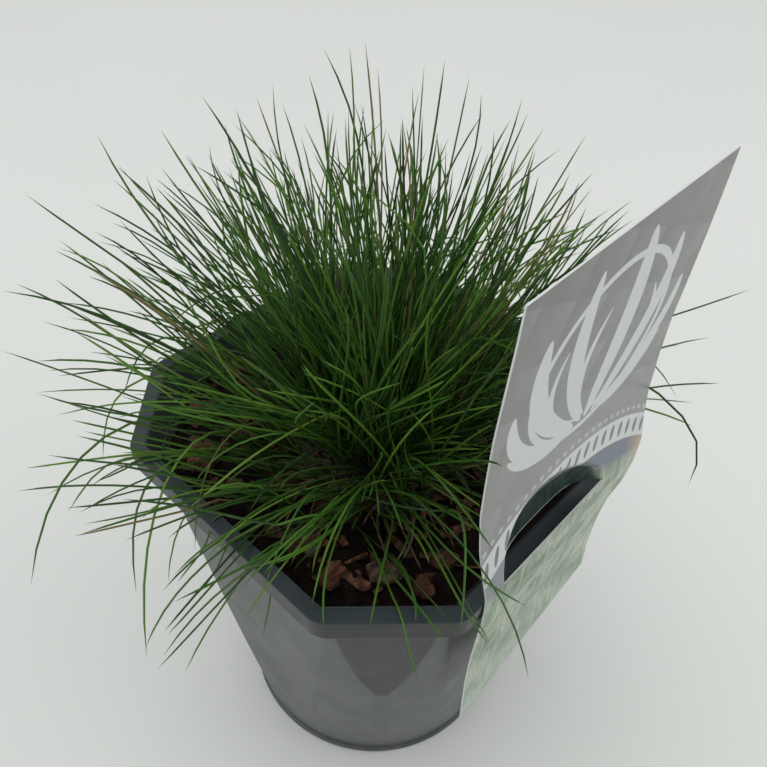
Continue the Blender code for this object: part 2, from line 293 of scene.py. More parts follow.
def makeFibreGroup():
    # drawn-out grain for bark and stalks: coarse streaks with finer ones in them
    inputs = (("place", "Vector", None), ("scale", "Float", 400.0))
    tree, entry, out = newGroup("fibres", inputs, ("coarse", "fine", "height"))
    coarse = put(tree, "TexNoise", in_Vector=entry["place"], in_Scale=entry["scale"], in_Detail=4.0)
    fineScale = times(tree, entry["scale"], 4.3)
    fine = put(tree, "TexNoise", in_Vector=entry["place"], in_Scale=fineScale, in_Detail=3.0)
    height = maths(tree, "MULTIPLY_ADD", fine.outputs["Fac"], 0.4, coarse.outputs["Fac"])
    tree.links.new(coarse.outputs["Fac"], out["coarse"])
    tree.links.new(fine.outputs["Fac"], out["fine"])
    tree.links.new(height, out["height"])
    return tree


def makeStrokeGroup():
    # one pen stroke along an arc, widest in its middle and pointed at both ends
    inputs = (
        ("point", "Vector", None),
        ("centreX", "Float", 0.0),
        ("centreY", "Float", 0.0),
        ("turn", "Float", 0.0),
        ("radius", "Float", 10.0),
        ("halfSpan", "Float", 0.5),
        ("width", "Float", 1.0),
    )
    tree, entry, out = newGroup("penStroke", inputs, ("mask",))
    axes = put(tree, "SeparateXYZ", in_0=entry["point"])
    x = minus(tree, axes.outputs["X"], entry["centreX"])
    y = minus(tree, axes.outputs["Y"], entry["centreY"])
    cosine = maths(tree, "COSINE", entry["turn"])
    sine = maths(tree, "SINE", entry["turn"])
    along = maths(tree, "MULTIPLY_ADD", x, cosine, times(tree, y, sine))
    aside = minus(tree, times(tree, y, cosine), times(tree, x, sine))
    angle = maths(tree, "ARCTAN2", aside, along)
    share = maths(tree, "DIVIDE", angle, entry["halfSpan"])
    profile = minus(tree, 1.0, times(tree, share, share))
    rootOf = maths(tree, "SQRT", maths(tree, "MAXIMUM", profile, 0.0))
    halfWidth = times(tree, times(tree, entry["width"], 0.5), rootOf)
    distance = maths(tree, "SQRT", squares(tree, along, aside))
    gap = maths(tree, "ABSOLUTE", minus(tree, distance, entry["radius"]))
    inside = minus(tree, halfWidth, gap)
    mask = remap(tree, inside, 0.0, 0.14)
    tree.links.new(mask, out["mask"])
    return tree


speckGroup = makeSpeckGroup()
fibreGroup = makeFibreGroup()
strokeGroup = makeStrokeGroup()


# Pot: a round cone cut by eight sloping planes, so it is eight-sided above and round below, with a
# flange, a lip and a short stepped skirt around the top

pot = {
    "rimHeight": 0.156,
    "coneRadii": (0.0540, 0.0781),  # at the base, at the rim
    "sidePlanes": (0.0543, 0.0662),  # axis to the long sides
    "cornerPlanes": (0.0567, 0.0754),  # axis to the cut corners
    "collarHeight": 0.145,  # above this the wall flares out to the flange
    "collarFlare": 1.07,
    "roundness": 192,
    "wall": 0.0012,
    "baseEdge": 0.0015,
    "rimHalf": 0.0725,
    "cornerCut": 0.02861,
    "cornerReach": 0.0823,  # axis to the rim's cut corners
    "cornerSoftness": 0.0031,
    "lipHeight": 0.0040,
    "skirtHeight": 0.0088,
    "skirtStep": 0.0005,
    "flangeWidth": 0.0049,
    "flangeThickness": 0.0014,
    "drainHoles": 8,
    "drainRadius": 0.0045,
    "drainCircle": 0.040,
    "soilTop": 0.1444,
}


def wallPlane(k, inset=0.0):
    # a point on cutting plane k and the way it faces
    low, high = (pot["sidePlanes"], pot["cornerPlanes"])[k % 2]
    angle = math.radians(45 * k)
    out = Vector((math.cos(angle), math.sin(angle), 0))
    facing = (out * pot["rimHeight"] - Vector((0, 0, high - low))).normalized()
    return out * (low - inset), facing


def cutByPlanes(inset, fill):
    for k in range(8):
        spot, facing = wallPlane(k, inset)
        selectMesh("SELECT")
        bpy.ops.mesh.bisect(plane_co=spot, plane_no=facing, use_fill=fill, clear_outer=True)


def makePotWall():
    height = pot["rimHeight"] - 0.0006
    low, high = pot["coneRadii"]
    bpy.ops.mesh.primitive_cone_add(
        vertices=pot["roundness"],
        radius1=low,
        radius2=high,
        depth=height,
        location=(0, 0, height / 2),
    )
    wall = bpy.context.object
    bpy.ops.object.transform_apply(location=True)
    collar = pot["collarHeight"]
    startEdit(wall)
    cutByPlanes(0.0, True)
    selectMesh("SELECT")
    bpy.ops.mesh.bisect(plane_co=(0, 0, collar), plane_no=(0, 0, 1), use_fill=True, clear_outer=True)
    bpy.ops.mesh.select_mode(type="EDGE")
    selectMesh("DESELECT")
    bpy.ops.mesh.edges_select_sharp(sharpness=math.radians(5))
    endEdit()
    for edge in wall.data.edges:
        ends = [wall.data.vertices[k].co.z for k in edge.vertices]
        if max(ends) < 1e-5 or min(ends) > collar - 1e-5:
            edge.select = False
    bpy.ops.object.mode_set(mode="EDIT")
    bpy.ops.mesh.bevel(offset=0.0011, segments=3, affect="EDGES")
    selectMesh("SELECT")
    bpy.ops.mesh.remove_doubles(threshold=0.00006)
    pick(wall, "EDGE", lambda middle, way: middle.z < 1e-5)
    bpy.ops.mesh.bevel(offset=pot["baseEdge"], segments=4, affect="EDGES")
    pick(wall, "FACE", lambda middle, facing: middle.z > collar - 1e-5)
    extrudeBy(height - collar)
    flare = pot["collarFlare"]
    bpy.ops.transform.resize(value=(flare, flare, 1), center_override=(0, 0, height))
    bpy.ops.mesh.delete(type="FACE")
    endEdit()
    addModifier(wall, "SOLIDIFY", thickness=pot["wall"], offset=-1.0)
    for vertex in wall.data.vertices:
        vertex.co.z = max(0.0, vertex.co.z)
    return wall


def cutDrainHoles(wall):
    dropSelection()
    punches = []
    for k in range(pot["drainHoles"]):
        angle = 2 * math.pi * (k + 0.5) / pot["drainHoles"]
        place = (pot["drainCircle"] * math.cos(angle), pot["drainCircle"] * math.sin(angle), 0)
        radius = pot["drainRadius"]
        bpy.ops.mesh.primitive_cylinder_add(vertices=32, radius=radius, depth=0.01, location=place)
        punches.append(bpy.context.object)
    punch = joinPieces(punches, "punch")
    addModifier(wall, "BOOLEAN", operation="DIFFERENCE", object=punch)
    bpy.data.objects.remove(punch)


def makePotRim():
    top = pot["rimHeight"]
    half = pot["rimHalf"]
    lip = pot["lipHeight"]
    dropSelection()
    bpy.ops.mesh.primitive_cube_add(size=1, location=(0, 0, top - lip / 2), scale=(2 * half, 2 * half, lip))
    rim = bpy.context.object
    bpy.ops.object.transform_apply(location=True, scale=True)
    startEdit(rim)
    pick(rim, "EDGE", lambda middle, way: abs(way.z) > lip / 2)
    bpy.ops.mesh.bevel(offset=pot["cornerCut"], segments=1, affect="EDGES")
    pick(rim, "EDGE", lambda middle, way: abs(way.z) > lip / 2)
    bpy.ops.mesh.bevel(offset=pot["cornerSoftness"], segments=8, affect="EDGES")
    # the underside steps in, drops as the skirt, and goes back up inside it
    pick(rim, "FACE", lambda middle, facing: facing.z < -0.9)
    bpy.ops.mesh.inset(thickness=pot["skirtStep"])
    extrudeBy(lip - pot["skirtHeight"])
    bpy.ops.mesh.inset(thickness=pot["wall"])
    up = pot["skirtHeight"] - pot["flangeThickness"]
    extrudeBy(up)
    bpy.ops.mesh.inset(thickness=pot["flangeWidth"] - pot["skirtStep"] - pot["wall"])
    bpy.ops.mesh.delete(type="FACE")
    pick(rim, "FACE", lambda middle, facing: facing.z > 0.9 and middle.z > top - 1e-5)
    bpy.ops.mesh.inset(thickness=pot["flangeWidth"])
    bpy.ops.mesh.delete(type="FACE")
    bpy.ops.mesh.select_mode(type="EDGE")
    bpy.ops.mesh.select_non_manifold()
    bpy.ops.mesh.bridge_edge_loops()
    selectMesh("SELECT")
    bpy.ops.mesh.normals_make_consistent(inside=False)
    endEdit()
    addModifier(
        rim, "BEVEL", width=0.00038, segments=3, limit_method="ANGLE", angle_limit=math.radians(40)
    )
    return rim


def makePotPlastic(name, dark, light, glossLow, glossHigh, dust):
    # one dark plastic, rubbed and dusty in different amounts on the walls, corner flats and rim; the darker
    # tones passed in for the corner flats and rim are painted reflection and painted shade
    material, tree, shader = newMaterial(name, Roughness=0.4)
    place = objectPlace(tree)
    height = put(tree, "SeparateXYZ", in_0=place).outputs["Z"]
    cloud = noiseAt(tree, place, 30, 4)
    tone = ramp(tree, cloud, (0.32, dark), (0.68, light))
    # splashes of dried compost water, thicker near the foot
    low = remap(tree, height, 0.110, 0.0, 0.0, 0.30)
    smear = times(tree, remap(tree, noiseAt(tree, place, 75, 6, 0.7), 0.48, 0.72), low)
    tone = blend(tree, times(tree, smear, dust), tone, (0.20, 0.18, 0.145))
    darkSpecks = useGroup(tree, speckGroup, place=place, spotsPerMetre=190.0, share=0.05 * dust)["mask"]
    tone = blend(tree, darkSpecks, tone, (0.014, 0.012, 0.010))
    paleSpecks = useGroup(tree, speckGroup, place=place, spotsPerMetre=520.0, share=0.018 * dust)["mask"]
    tone = blend(tree, times(tree, paleSpecks, 0.4), tone, (0.22, 0.20, 0.17))
    # rubbed marks, each a short dark scuff
    scuffPlace = objectPlace(tree, (1, 1, 2.2), (0.0, 0.0, 0.8))
    scuff = remap(tree, noiseAt(tree, scuffPlace, 70, 7, 0.75), 0.665, 0.70)
    tone = blend(tree, times(tree, scuff, 0.45 * dust), tone, (0.035, 0.036, 0.036))
    tree.links.new(tone, shader.inputs["Base Color"])
    scratchPlace = objectPlace(tree, (1, 1, 0.07), (0.5, 0.25, 0.3))
    scratch = remap(tree, noiseAt(tree, scratchPlace, 950, 2), 0.70, 0.76)
    gloss = remap(tree, noiseAt(tree, place, 60, 4), 0.3, 0.7, glossLow, glossHigh)
    gloss = plus(tree, gloss, times(tree, scratch, 0.10))
    tree.links.new(gloss, shader.inputs["Roughness"])
    grain = noiseAt(tree, place, 1600, 2)
    relief = maths(tree, "MULTIPLY_ADD", scratch, -0.3, grain)
    relief = maths(tree, "MULTIPLY_ADD", darkSpecks, 2.5, relief)
    addBump(tree, shader, relief, 0.05, 0.0003)
    return material


def markPaintedShadeAndReflection(piece):
    # the cut corners' flats, the rim's lip and skirt and the flange top take darker copies of the plastic,
    # polished differently from the walls: a painted dark reflection on the corners, lip and skirt, and
    # painted shade on the flange top
    for face in piece.data.polygons:
        flat = math.hypot(face.normal.x, face.normal.y)
        corner = max(abs(face.normal.x), abs(face.normal.y)) < 0.7125 * flat
        x, y = abs(face.center.x), abs(face.center.y)
        outer = max(x, y) > pot["rimHalf"] - 0.004 or (x + y) / math.sqrt(2) > pot["cornerReach"] - 0.0028
        if face.center.z > pot["rimHeight"] - 0.0015 and face.normal.z > 0.5:
            face.material_index = 2
        elif face.center.z > pot["rimHeight"] - pot["skirtHeight"] - 0.0005 and outer:
            face.material_index = 1
        elif corner and face.area > 0.0001 and face.center.z < pot["collarHeight"]:
            face.material_index = 1


potWall = makePotWall()
cutDrainHoles(potWall)
potShell = joinPieces([potWall, makePotRim()], "potShell")
makeActive(potShell)
bpy.ops.object.shade_smooth_by_angle(angle=math.radians(32))
addModifier(potShell, "WEIGHTED_NORMAL", mode="FACE_AREA", keep_sharp=True)
settle(
    potShell,
    "pot",
    "pot_plastic",
    makePotPlastic("wallPlastic", (0.050, 0.059, 0.057), (0.067, 0.075, 0.072), 0.32, 0.42, 1.0),
    # the much darker corner copy is a painted dark reflection, the darker rim copy is painted shade on the
    # flange top
    makePotPlastic("cornerPaintedReflection", (0.007, 0.011, 0.012), (0.011, 0.016, 0.017), 0.34, 0.42, 0.3),
    makePotPlastic("rimPaintedShade", (0.010, 0.020, 0.025), (0.015, 0.027, 0.033), 0.40, 0.50, 0.4),
)
markPaintedShadeAndReflection(potShell)
print("pot finished:", len(potShell.data.polygons), "faces")


# Potting soil: a crumbly surface cut to the pot's outline, with crumbs and splinters lying on it

soil = {
    "edgeGap": 0.0016,
    "roughness": 0.0011,
    "mound": 0.0022,  # how much higher it lies around the crown
    "crumbs": 1500,
    "crumbSize": (0.0004, 0.0017),
    "splinters": 300,
    "splinterLength": (0.003, 0.012),
    "splinterWidth": (0.0007, 0.0044),
    "seed": 5,
}
crownCentre = Vector((-0.0117, -0.0079, pot["soilTop"]))


def bumpyNoise(points, waves, rng):
    # a sum of sine waves in random directions, cheap and the same on every run
    total = np.zeros(len(points))
    for size, amount in waves:
        for repeat in range(7):
            way = rng.normal(size=3)
            way *= 2 * math.pi / (size * np.linalg.norm(way))
            total += amount / 2.2 * np.sin(points @ way + rng.uniform(0, 2 * math.pi))
    return total


def soilHeight(points, rng):
    bumps = bumpyNoise(points, ((0.030, 0.9), (0.012, 0.7), (0.005, 0.5), (0.0022, 0.35)), rng)
    away = np.hypot(points[:, 0] - crownCentre.x, points[:, 1] - crownCentre.y)
    mound = soil["mound"] * np.exp(-((away / 0.034) ** 2))
    return pot["soilTop"] + soil["roughness"] * bumps + mound


def insideWall(x, y, margin):
    # true where a point on the soil is at least margin inside the pot's inner wall
    share = pot["soilTop"] / pot["rimHeight"]
    for k in range(8):
        low, high = (pot["sidePlanes"], pot["cornerPlanes"])[k % 2]
        angle = math.radians(45 * k)
        if x * math.cos(angle) + y * math.sin(angle) > low + (high - low) * share - pot["wall"] - margin:
            return False
    return True


def makeSoilBed(rng):
    size = 0.17
    dropSelection()
    bpy.ops.mesh.primitive_grid_add(
        x_subdivisions=150, y_subdivisions=150, size=size, location=(0, 0, pot["soilTop"])
    )
    bed = bpy.context.object
    bpy.ops.object.transform_apply(location=True)
    startEdit(bed)
    cutByPlanes(soil["edgeGap"], False)
    bpy.ops.mesh.select_mode(type="EDGE")
    selectMesh("DESELECT")
    bpy.ops.mesh.select_non_manifold()
    for drop, shrink in ((0.012, 0.955), (0.130, 0.73)):
        extrudeBy(-drop)
        bpy.ops.transform.resize(value=(shrink, shrink, 1), center_override=(0, 0, 0))
    bpy.ops.mesh.fill_holes(sides=0)
    selectMesh("SELECT")
    bpy.ops.mesh.normals_make_consistent(inside=False)
    endEdit()
    points = pointsOf(bed)
    top = points[:, 2] > pot["soilTop"] - 1e-4
    points[top, 2] = soilHeight(points[top], rng)
    movePoints(bed, points)
    makeActive(bed)
    bpy.ops.object.shade_smooth()
    return bed


def blockShapes(rng):
    # a few broken lumps, each modelled from a ball by pushing its points about
    shapes = []
    for level in (1, 1, 2, 2):
        dropSelection()
        bpy.ops.mesh.primitive_ico_sphere_add(subdivisions=level, radius=1)
        lump = bpy.context.object
        points = pointsOf(lump)
        points *= rng.uniform(0.72, 1.15, (len(points), 1))
        faces = np.array([f.vertices[:] for f in lump.data.polygons])
        bpy.data.objects.remove(lump)
        shapes.append((points, faces))
    return shapes


def scatter(name, shapes, placings):
    # copies the shapes to their places in one mesh
    points, faces, start = [], [], 0
    for kind, spot, turn, size in placings:
        base, sides = shapes[kind]
        rotation = np.array(Euler(turn).to_matrix())
        points.append((base * size) @ rotation.T + np.array(spot))
        faces.append(sides + start)
        start += len(base)
    piece = meshPiece(name, np.vstack(points), np.vstack(faces).tolist())
    return piece


def bedHeight(bedPoints, x, y):
    return bedPoints[np.argmin((bedPoints[:, 0] - x) ** 2 + (bedPoints[:, 1] - y) ** 2), 2]


def makeCrumbs(bedPoints, rng):
    shapes = blockShapes(rng)
    placings = []
    while len(placings) < soil["crumbs"]:
        x, y = rng.uniform(-0.075, 0.075, 2)
        if insideWall(x, y, 0.002):
            small, large = soil["crumbSize"]
            size = small + (large - small) * rng.uniform() ** 2.2
            spot = (x, y, bedHeight(bedPoints, x, y) + 0.35 * size)
            flat = size * rng.uniform(0.55, 1.0, 3)
            placings.append((int(rng.integers(0, 4)), spot, rng.uniform(0, 6.3, 3), flat))
    return scatter("crumbs", shapes, placings)


def makeSplinters(bedPoints, rng):
    dropSelection()
    bpy.ops.mesh.primitive_cube_add(size=1)
    stick = bpy.context.object
    startEdit(stick)
    bpy.ops.mesh.subdivide(number_cuts=1)
    endEdit()
    points = pointsOf(stick)
    faces = np.array([f.vertices[:] for f in stick.data.polygons])
    bpy.data.objects.remove(stick)
    shapes = [(points * rng.uniform(0.7, 1.1, points.shape), faces) for k in range(4)]
    placings = []
    while len(placings) < soil["splinters"]:
        x, y = rng.uniform(-0.075, 0.075, 2)
        if insideWall(x, y, 0.006):
            long = rng.uniform(*soil["splinterLength"])
            spot = (x, y, bedHeight(bedPoints, x, y) + 0.0006)
            turn = (rng.normal(0, 0.35), rng.normal(0, 0.22), rng.uniform(0, 6.3))
            wide = min(rng.uniform(*soil["splinterWidth"]), 0.6 * long)
            size = (long, wide, rng.uniform(0.0004, 0.0010))
            placings.append((int(rng.integers(0, 4)), spot, turn, np.array(size)))
    return scatter("splinters", shapes, placings)


def makeCompost():
    material, tree, shader = newMaterial("compost", Roughness=0.82, Specular_IOR_Level=0.12)
    place = objectPlace(tree)
    grains = noiseAt(tree, place, 620, 5, 0.65)
    tone = ramp(
        tree,
        grains,
        (0.34, (0.0016, 0.0012, 0.0009)),
        (0.52, (0.0060, 0.0038, 0.0026)),
        (0.66, (0.021, 0.011, 0.006)),
        (0.80, (0.060, 0.032, 0.018)),
    )
    patches = remap(tree, noiseAt(tree, place, 95, 3), 0.40, 0.66)
    tone = blend(tree, times(tree, patches, 0.5), tone, (0.017, 0.007, 0.0035))
    tree.links.new(tone, shader.inputs["Base Color"])
    tree.links.new(remap(tree, grains, 0.3, 0.7, 0.62, 0.95), shader.inputs["Roughness"])
    addBump(tree, shader, noiseAt(tree, place, 1500, 4, 0.7), 0.7, 0.0006)
    return material


def makeBark(name, dark, middle, light):
    # reddish brown bark, each chip a little different because the broad pattern is larger than a chip
    material, tree, shader = newMaterial(name, Roughness=0.7, Specular_IOR_Level=0.3)
    place = objectPlace(tree)
    grainPlace = objectPlace(tree, (0.35, 1.0, 1.6), (0, 0, 0.6))
    fibres = useGroup(tree, fibreGroup, place=grainPlace, scale=520.0)
    tone = ramp(tree, fibres["coarse"], (0.33, dark), (0.52, middle), (0.72, light))
    broad = noiseAt(tree, place, 46, 2)
    tone = blend(tree, remap(tree, broad, 0.38, 0.62), tone, blend(tree, 0.55, tone, dark))
    crumbs = useGroup(tree, speckGroup, place=place, spotsPerMetre=900.0, share=0.22)["mask"]
    tone = blend(tree, crumbs, tone, (0.006, 0.004, 0.003))
    tree.links.new(tone, shader.inputs["Base Color"])
    tree.links.new(remap(tree, fibres["fine"], 0.3, 0.7, 0.55, 0.85), shader.inputs["Roughness"])
    addBump(tree, shader, fibres["height"], 0.65, 0.0008)
    return material


soilRng = np.random.default_rng(soil["seed"])
soilBed = makeSoilBed(soilRng)
bedPoints = pointsOf(soilBed)
bedPoints = bedPoints[bedPoints[:, 2] > pot["soilTop"] - 0.006]
crumbs = makeCrumbs(bedPoints, soilRng)
splinters = makeSplinters(bedPoints, soilRng)
compost = makeCompost()
redBark = makeBark("redBark", (0.022, 0.008, 0.004), (0.092, 0.034, 0.015), (0.24, 0.112, 0.052))
for piece, place in ((soilBed, 0), (crumbs, 0), (splinters, 1)):
    piece.data.polygons.foreach_set("material_index", [place] * len(piece.data.polygons))
crumbs.data.polygons.foreach_set(
    "material_index", [int(k % 640 < 110) for k in range(len(crumbs.data.polygons))]
)
for piece in (soilBed, crumbs, splinters):
    piece.data.materials.append(compost)
    piece.data.materials.append(redBark)
soilSurface = joinPieces([soilBed, crumbs, splinters], "soilSurface")
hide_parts("potting_soil")
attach(soilSurface, "root")
print("soil finished:", len(soilSurface.data.polygons), "faces")


# Bark chips: each keeps its packed outline and gets broken edges and a split, fibrous top

chips = {"cuts": 3, "edge": 0.0003, "relief": 0.0006, "paleOnes": (2, 5), "seed": 21}


def copyOfNode(node, name):
    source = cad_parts[node]
    mesh = source.data.copy()
    mesh.name = name
    piece = bpy.data.objects.new(name, mesh)
    bpy.context.scene.collection.objects.link(piece)
    startEdit(piece, "VERT")
    selectMesh("SELECT")
    bpy.ops.mesh.remove_doubles(threshold=0.00001)
    bpy.ops.mesh.normals_make_consistent(inside=False)
    endEdit()
    return piece


def makeChip(number, rng):
    node = f"bark_chip_{number:02d}"
    low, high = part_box(node)
    chip = copyOfNode(node, f"barkChip{number:02d}")
    addModifier(chip, "BEVEL", width=chips["edge"], segments=2, limit_method="ANGLE")
    startEdit(chip, "FACE")
    selectMesh("SELECT")
    bpy.ops.mesh.quads_convert_to_tris()
    bpy.ops.mesh.subdivide(number_cuts=chips["cuts"], smoothness=0.15)
    endEdit()
    points = pointsOf(chip)
    normals = np.array([v.normal for v in chip.data.vertices])
    grain = rng.uniform(0, math.pi)
    drawn = points.copy()
    along = drawn[:, 0] * math.cos(grain) + drawn[:, 1] * math.sin(grain)
    across = drawn[:, 1] * math.cos(grain) - drawn[:, 0] * math.sin(grain)
    drawn = np.column_stack((along * 0.3, across, drawn[:, 2]))
    push = bumpyNoise(drawn, ((0.006, 0.5), (0.0025, 0.45), (0.0012, 0.3)), rng)
    share = np.clip((points[:, 2] - low.z) / (high.z - low.z), 0, 1)
    points += normals * (chips["relief"] * push * (0.35 + 0.65 * share))[:, None]
    # a slight warp, its edges curling up, and a small lift off the soil
    reach = np.hypot(points[:, 0] - points[:, 0].mean(), points[:, 1] - points[:, 1].mean())
    points[:, 2] += 6.0 * reach**2 + 0.0004
    movePoints(chip, points)
    makeActive(chip)
    bpy.ops.object.shade_smooth_by_angle(angle=math.radians(38))
    return chip


paleBark = makeBark("paleBark", (0.026, 0.016, 0.010), (0.088, 0.056, 0.034), (0.20, 0.145, 0.090))
chipRng = np.random.default_rng(chips["seed"])
for number in range(1, 13):
    chip = makeChip(number, chipRng)
    settle(chip, f"bark_chip_{number:02d}", "bark", paleBark if number in chips["paleOnes"] else redBark)
print("bark chips finished")


# Grass: blades are thin three-sided needles, drawn along curved paths and joined one bundle to a
# piece. Each blade carries how far along it a point is, its own tone and how dry it is.

grass = {
    "seed": 17,
    "rings": 12,
    "bladeRadius": (0.00030, 0.00047),
    "stalkSpread": 21.0,  # degrees a stalk leans off its bundle's direction
    "bladeSpread": 12.0,  # degrees a blade leans off its stalk
    "widestSpread": 40.0,
    "bladesPerStalk": (2, 6),
    "reach": (0.42, 1.0),  # shares of the bundle's length
    "bladesInTop": 90,
    "bladesInLean": {1: 68, 2: 42, 3: 15},
    "bladesInHanging": 5,
    "thinSide": math.radians(215),
    "thinShare": 0.22,  # how much of the growth stands on the thin side
    "dryShare": 0.03,
    "kinkShare": 0.18,
    "strayShare": 0.22,  # stalks that cross the others
    "rootRadius": 0.017,
    "frontWay": (-0.669, -0.743),
    "frontReach": 0.097,
}
crown = {"radius": 0.027, "height": 0.010, "floor": pot["soilTop"] + 0.0003}

# tips of the blades that stand out from the rest, in millimetres
longTips = (
    (-72, 62, 240), (-50, 60, 250), (-34, 55, 248), (-22, 51, 255), (-13, 46, 245), (-5, 41, 257),
    (-3, 40, 251), (3, 35, 259), (6, 32, 266), (11, 27, 267), (14, 24, 268), (17, 22, 261),
    (-47, 59, 240), (-49, 59, 237), (-40, 57, 236), (-58, 59, 224), (-56, 57, 217), (-70, 60, 223),
    (-73, 58, 216), (-83, 59, 219), (-87, 58, 219), (-81, 55, 207), (-94, 54, 205), (-86, 50, 195),
    (-91, 48, 191), (-97, 39, 177), (-109, 35, 175), (-103, 23, 160), (-92, 31, 165), (-86, 3, 139),
    (-85, -3, 136), (-100, -18, 131), (-76, -23, 126), (24, 15, 256), (29, 8, 264), (33, 2, 260),
    (36, -2, 250), (41, -11, 256), (42, -13, 252), (48, -29, 249), (43, -16, 238), (46, -23, 243),
    (48, -30, 235), (41, -50, 237), (38, -50, 235), (45, -31, 219), (73, -80, 210), (66, -76, 193),
    (87, -80, 162), (60, -72, 174), (84, -78, 141), (-55, -74, 163),
)
# blades that come round the left edge of the label: three places on the way, then the tip
overLabel = (
    ((-36, -45, 172), (-42.5, -64, 177), (-40.2, -72.2, 172.5), (-20.8, -78, 143)),
    ((-36, -48, 170), (-41, -62, 169), (-43.5, -71, 164), (-42, -80, 152)),
    ((-33, -44, 164), (-41, -62, 165), (-44, -71, 161), (-40, -79, 147)),
    ((-30, -38, 186), (-38, -56, 195), (-39.8, -69, 190), (-35.6, -71.8, 180)),
)
# where blades may not go: the plant label's foot, roll, half width, height and back
labelSpace = {
    "foot": (0.0077, 0.0783),
    "roll": math.radians(2.55),
    "half": 0.0417,
    "height": 0.1845,
    "back": -0.0652,
}


def unit(vector):
    return vector / max(1e-9, np.linalg.norm(vector))


def domePoint(x, y):
    # the crown's surface under a spot, or the soil beside it
    away = math.hypot(x - crownCentre.x, y - crownCentre.y) / crown["radius"]
    rise = crown["height"] * math.sqrt(max(0.0, 1 - away * away))
    return np.array((x, y, crown["floor"] + rise - 0.001))


def keepClear(path, radius):
    # holds a path above the soil and the flange and inside the model's box
    rim = pot["rimHeight"] + radius + 0.0003
    for point in path:
        octagon = max(
            max(abs(point[0]), abs(point[1])) - pot["rimHalf"],
            (abs(point[0]) + abs(point[1])) / math.sqrt(2) - pot["cornerReach"],
        )
        if -0.0075 < octagon < 0.0012 and pot["rimHeight"] - 0.010 < point[2] < rim:
            point[2] = rim
        elif octagon <= -0.0075 and point[2] < crown["floor"] + 0.001:
            point[2] = crown["floor"] + 0.001
        for k, (low, high) in enumerate(zip(*modelBox)):
            edge = 0.02 * (high - low)
            point[k] = min(max(point[k], low - edge), high + edge)
    return path


def meetsLabel(path):
    # true where a path would run through the plant label instead of passing beside it
    x = path[:, 0] - labelSpace["foot"][0]
    z = path[:, 2] - labelSpace["foot"][1]
    cosine, sine = math.cos(labelSpace["roll"]), math.sin(labelSpace["roll"])
    across = x * cosine + z * sine
    up = z * cosine - x * sine
    inside = (np.abs(across) < labelSpace["half"]) & (up > -0.001) & (up < labelSpace["height"])
    return bool(np.any(inside & (path[:, 1] < labelSpace["back"])))


def farForward(path):
    # true where a path leaves over the front corner for more than a short way
    return bool(np.any(path[:, :2] @ np.array(grass["frontWay"]) > grass["frontReach"]))


def curvedPath(start, first, second, end):
    t = np.linspace(0, 1, grass["rings"] + 1)[:, None]
    return (1 - t) ** 3 * start + 3 * t * (1 - t) ** 2 * first + 3 * t**2 * (1 - t) * second + t**3 * end


def bladePath(root, tip, lift, bow, rng, kink=False, leave=None):
    span = tip - root
    length = np.linalg.norm(span)
    up = np.array((0, 0, 1.0))
    side = unit(np.cross(span, up) + 1e-6)
    leave = unit(unit(span) + lift * up) if leave is None else leave
    first = root + leave * length * 0.36
    second = root + 0.72 * span + up * length * lift * 0.30 + side * bow * length
    path = curvedPath(root, first, second, tip)
    if kink:
        bend = int(rng.integers(5, 11))
        axis = unit(rng.normal(size=3))
        turn = np.array(Matrix.Rotation(rng.uniform(0.35, 1.1), 3, Vector(axis)))
        path[bend + 1 :] = path[bend] + (path[bend + 1 :] - path[bend]) @ turn.T
    return path


def pathThrough(places):
    # evenly spaced points on the line through some places
    places = np.array(places)
    steps = np.linalg.norm(np.diff(places, axis=0), axis=1)
    gone = np.concatenate(((0,), np.cumsum(steps)))
    spots = np.linspace(0, gone[-1], grass["rings"] + 1)
    return np.column_stack([np.interp(spots, gone, places[:, k]) for k in range(3)])


def smoothPath(path, radius):
    path = keepClear(path, radius)
    for repeat in range(2):
        path[1:-1] = 0.2 * path[:-2] + 0.6 * path[1:-1] + 0.2 * path[2:]
        path = keepClear(path, radius)
    return path


def needle(path, radii, rng):
    # three-sided tube along the path, closed by a point at the tip and a flat face at the root
    rings = len(path)
    ways = np.gradient(path, axis=0)
    ways /= np.linalg.norm(ways, axis=1)[:, None]
    reference = np.cross(path[-1] - path[0], rng.normal(size=3))
    side = reference - (ways @ reference)[:, None] * ways
    side /= np.linalg.norm(side, axis=1)[:, None]
    other = np.cross(ways, side)
    points = []
    for k in range(rings - 1):
        for corner in range(3):
            angle = 2 * math.pi * corner / 3
            points.append(path[k] + radii[k] * (math.cos(angle) * side[k] + math.sin(angle) * other[k]))
    points.append(path[-1])
    faces = [(2, 1, 0)]
    for k in range(rings - 2):
        for corner in range(3):
            after = (corner + 1) % 3
            faces.append((3 * k + corner, 3 * k + after, 3 * k + 3 + after, 3 * k + 3 + corner))
    last = 3 * (rings - 2)
    for corner in range(3):
        faces.append((last + corner, last + (corner + 1) % 3, 3 * (rings - 1)))
    along = np.repeat(np.linspace(0, 1, rings), 3)[: len(points)]
    along[-1] = 1
    return np.array(points), faces, along


bladeFacts = ("along", "tone", "dry")


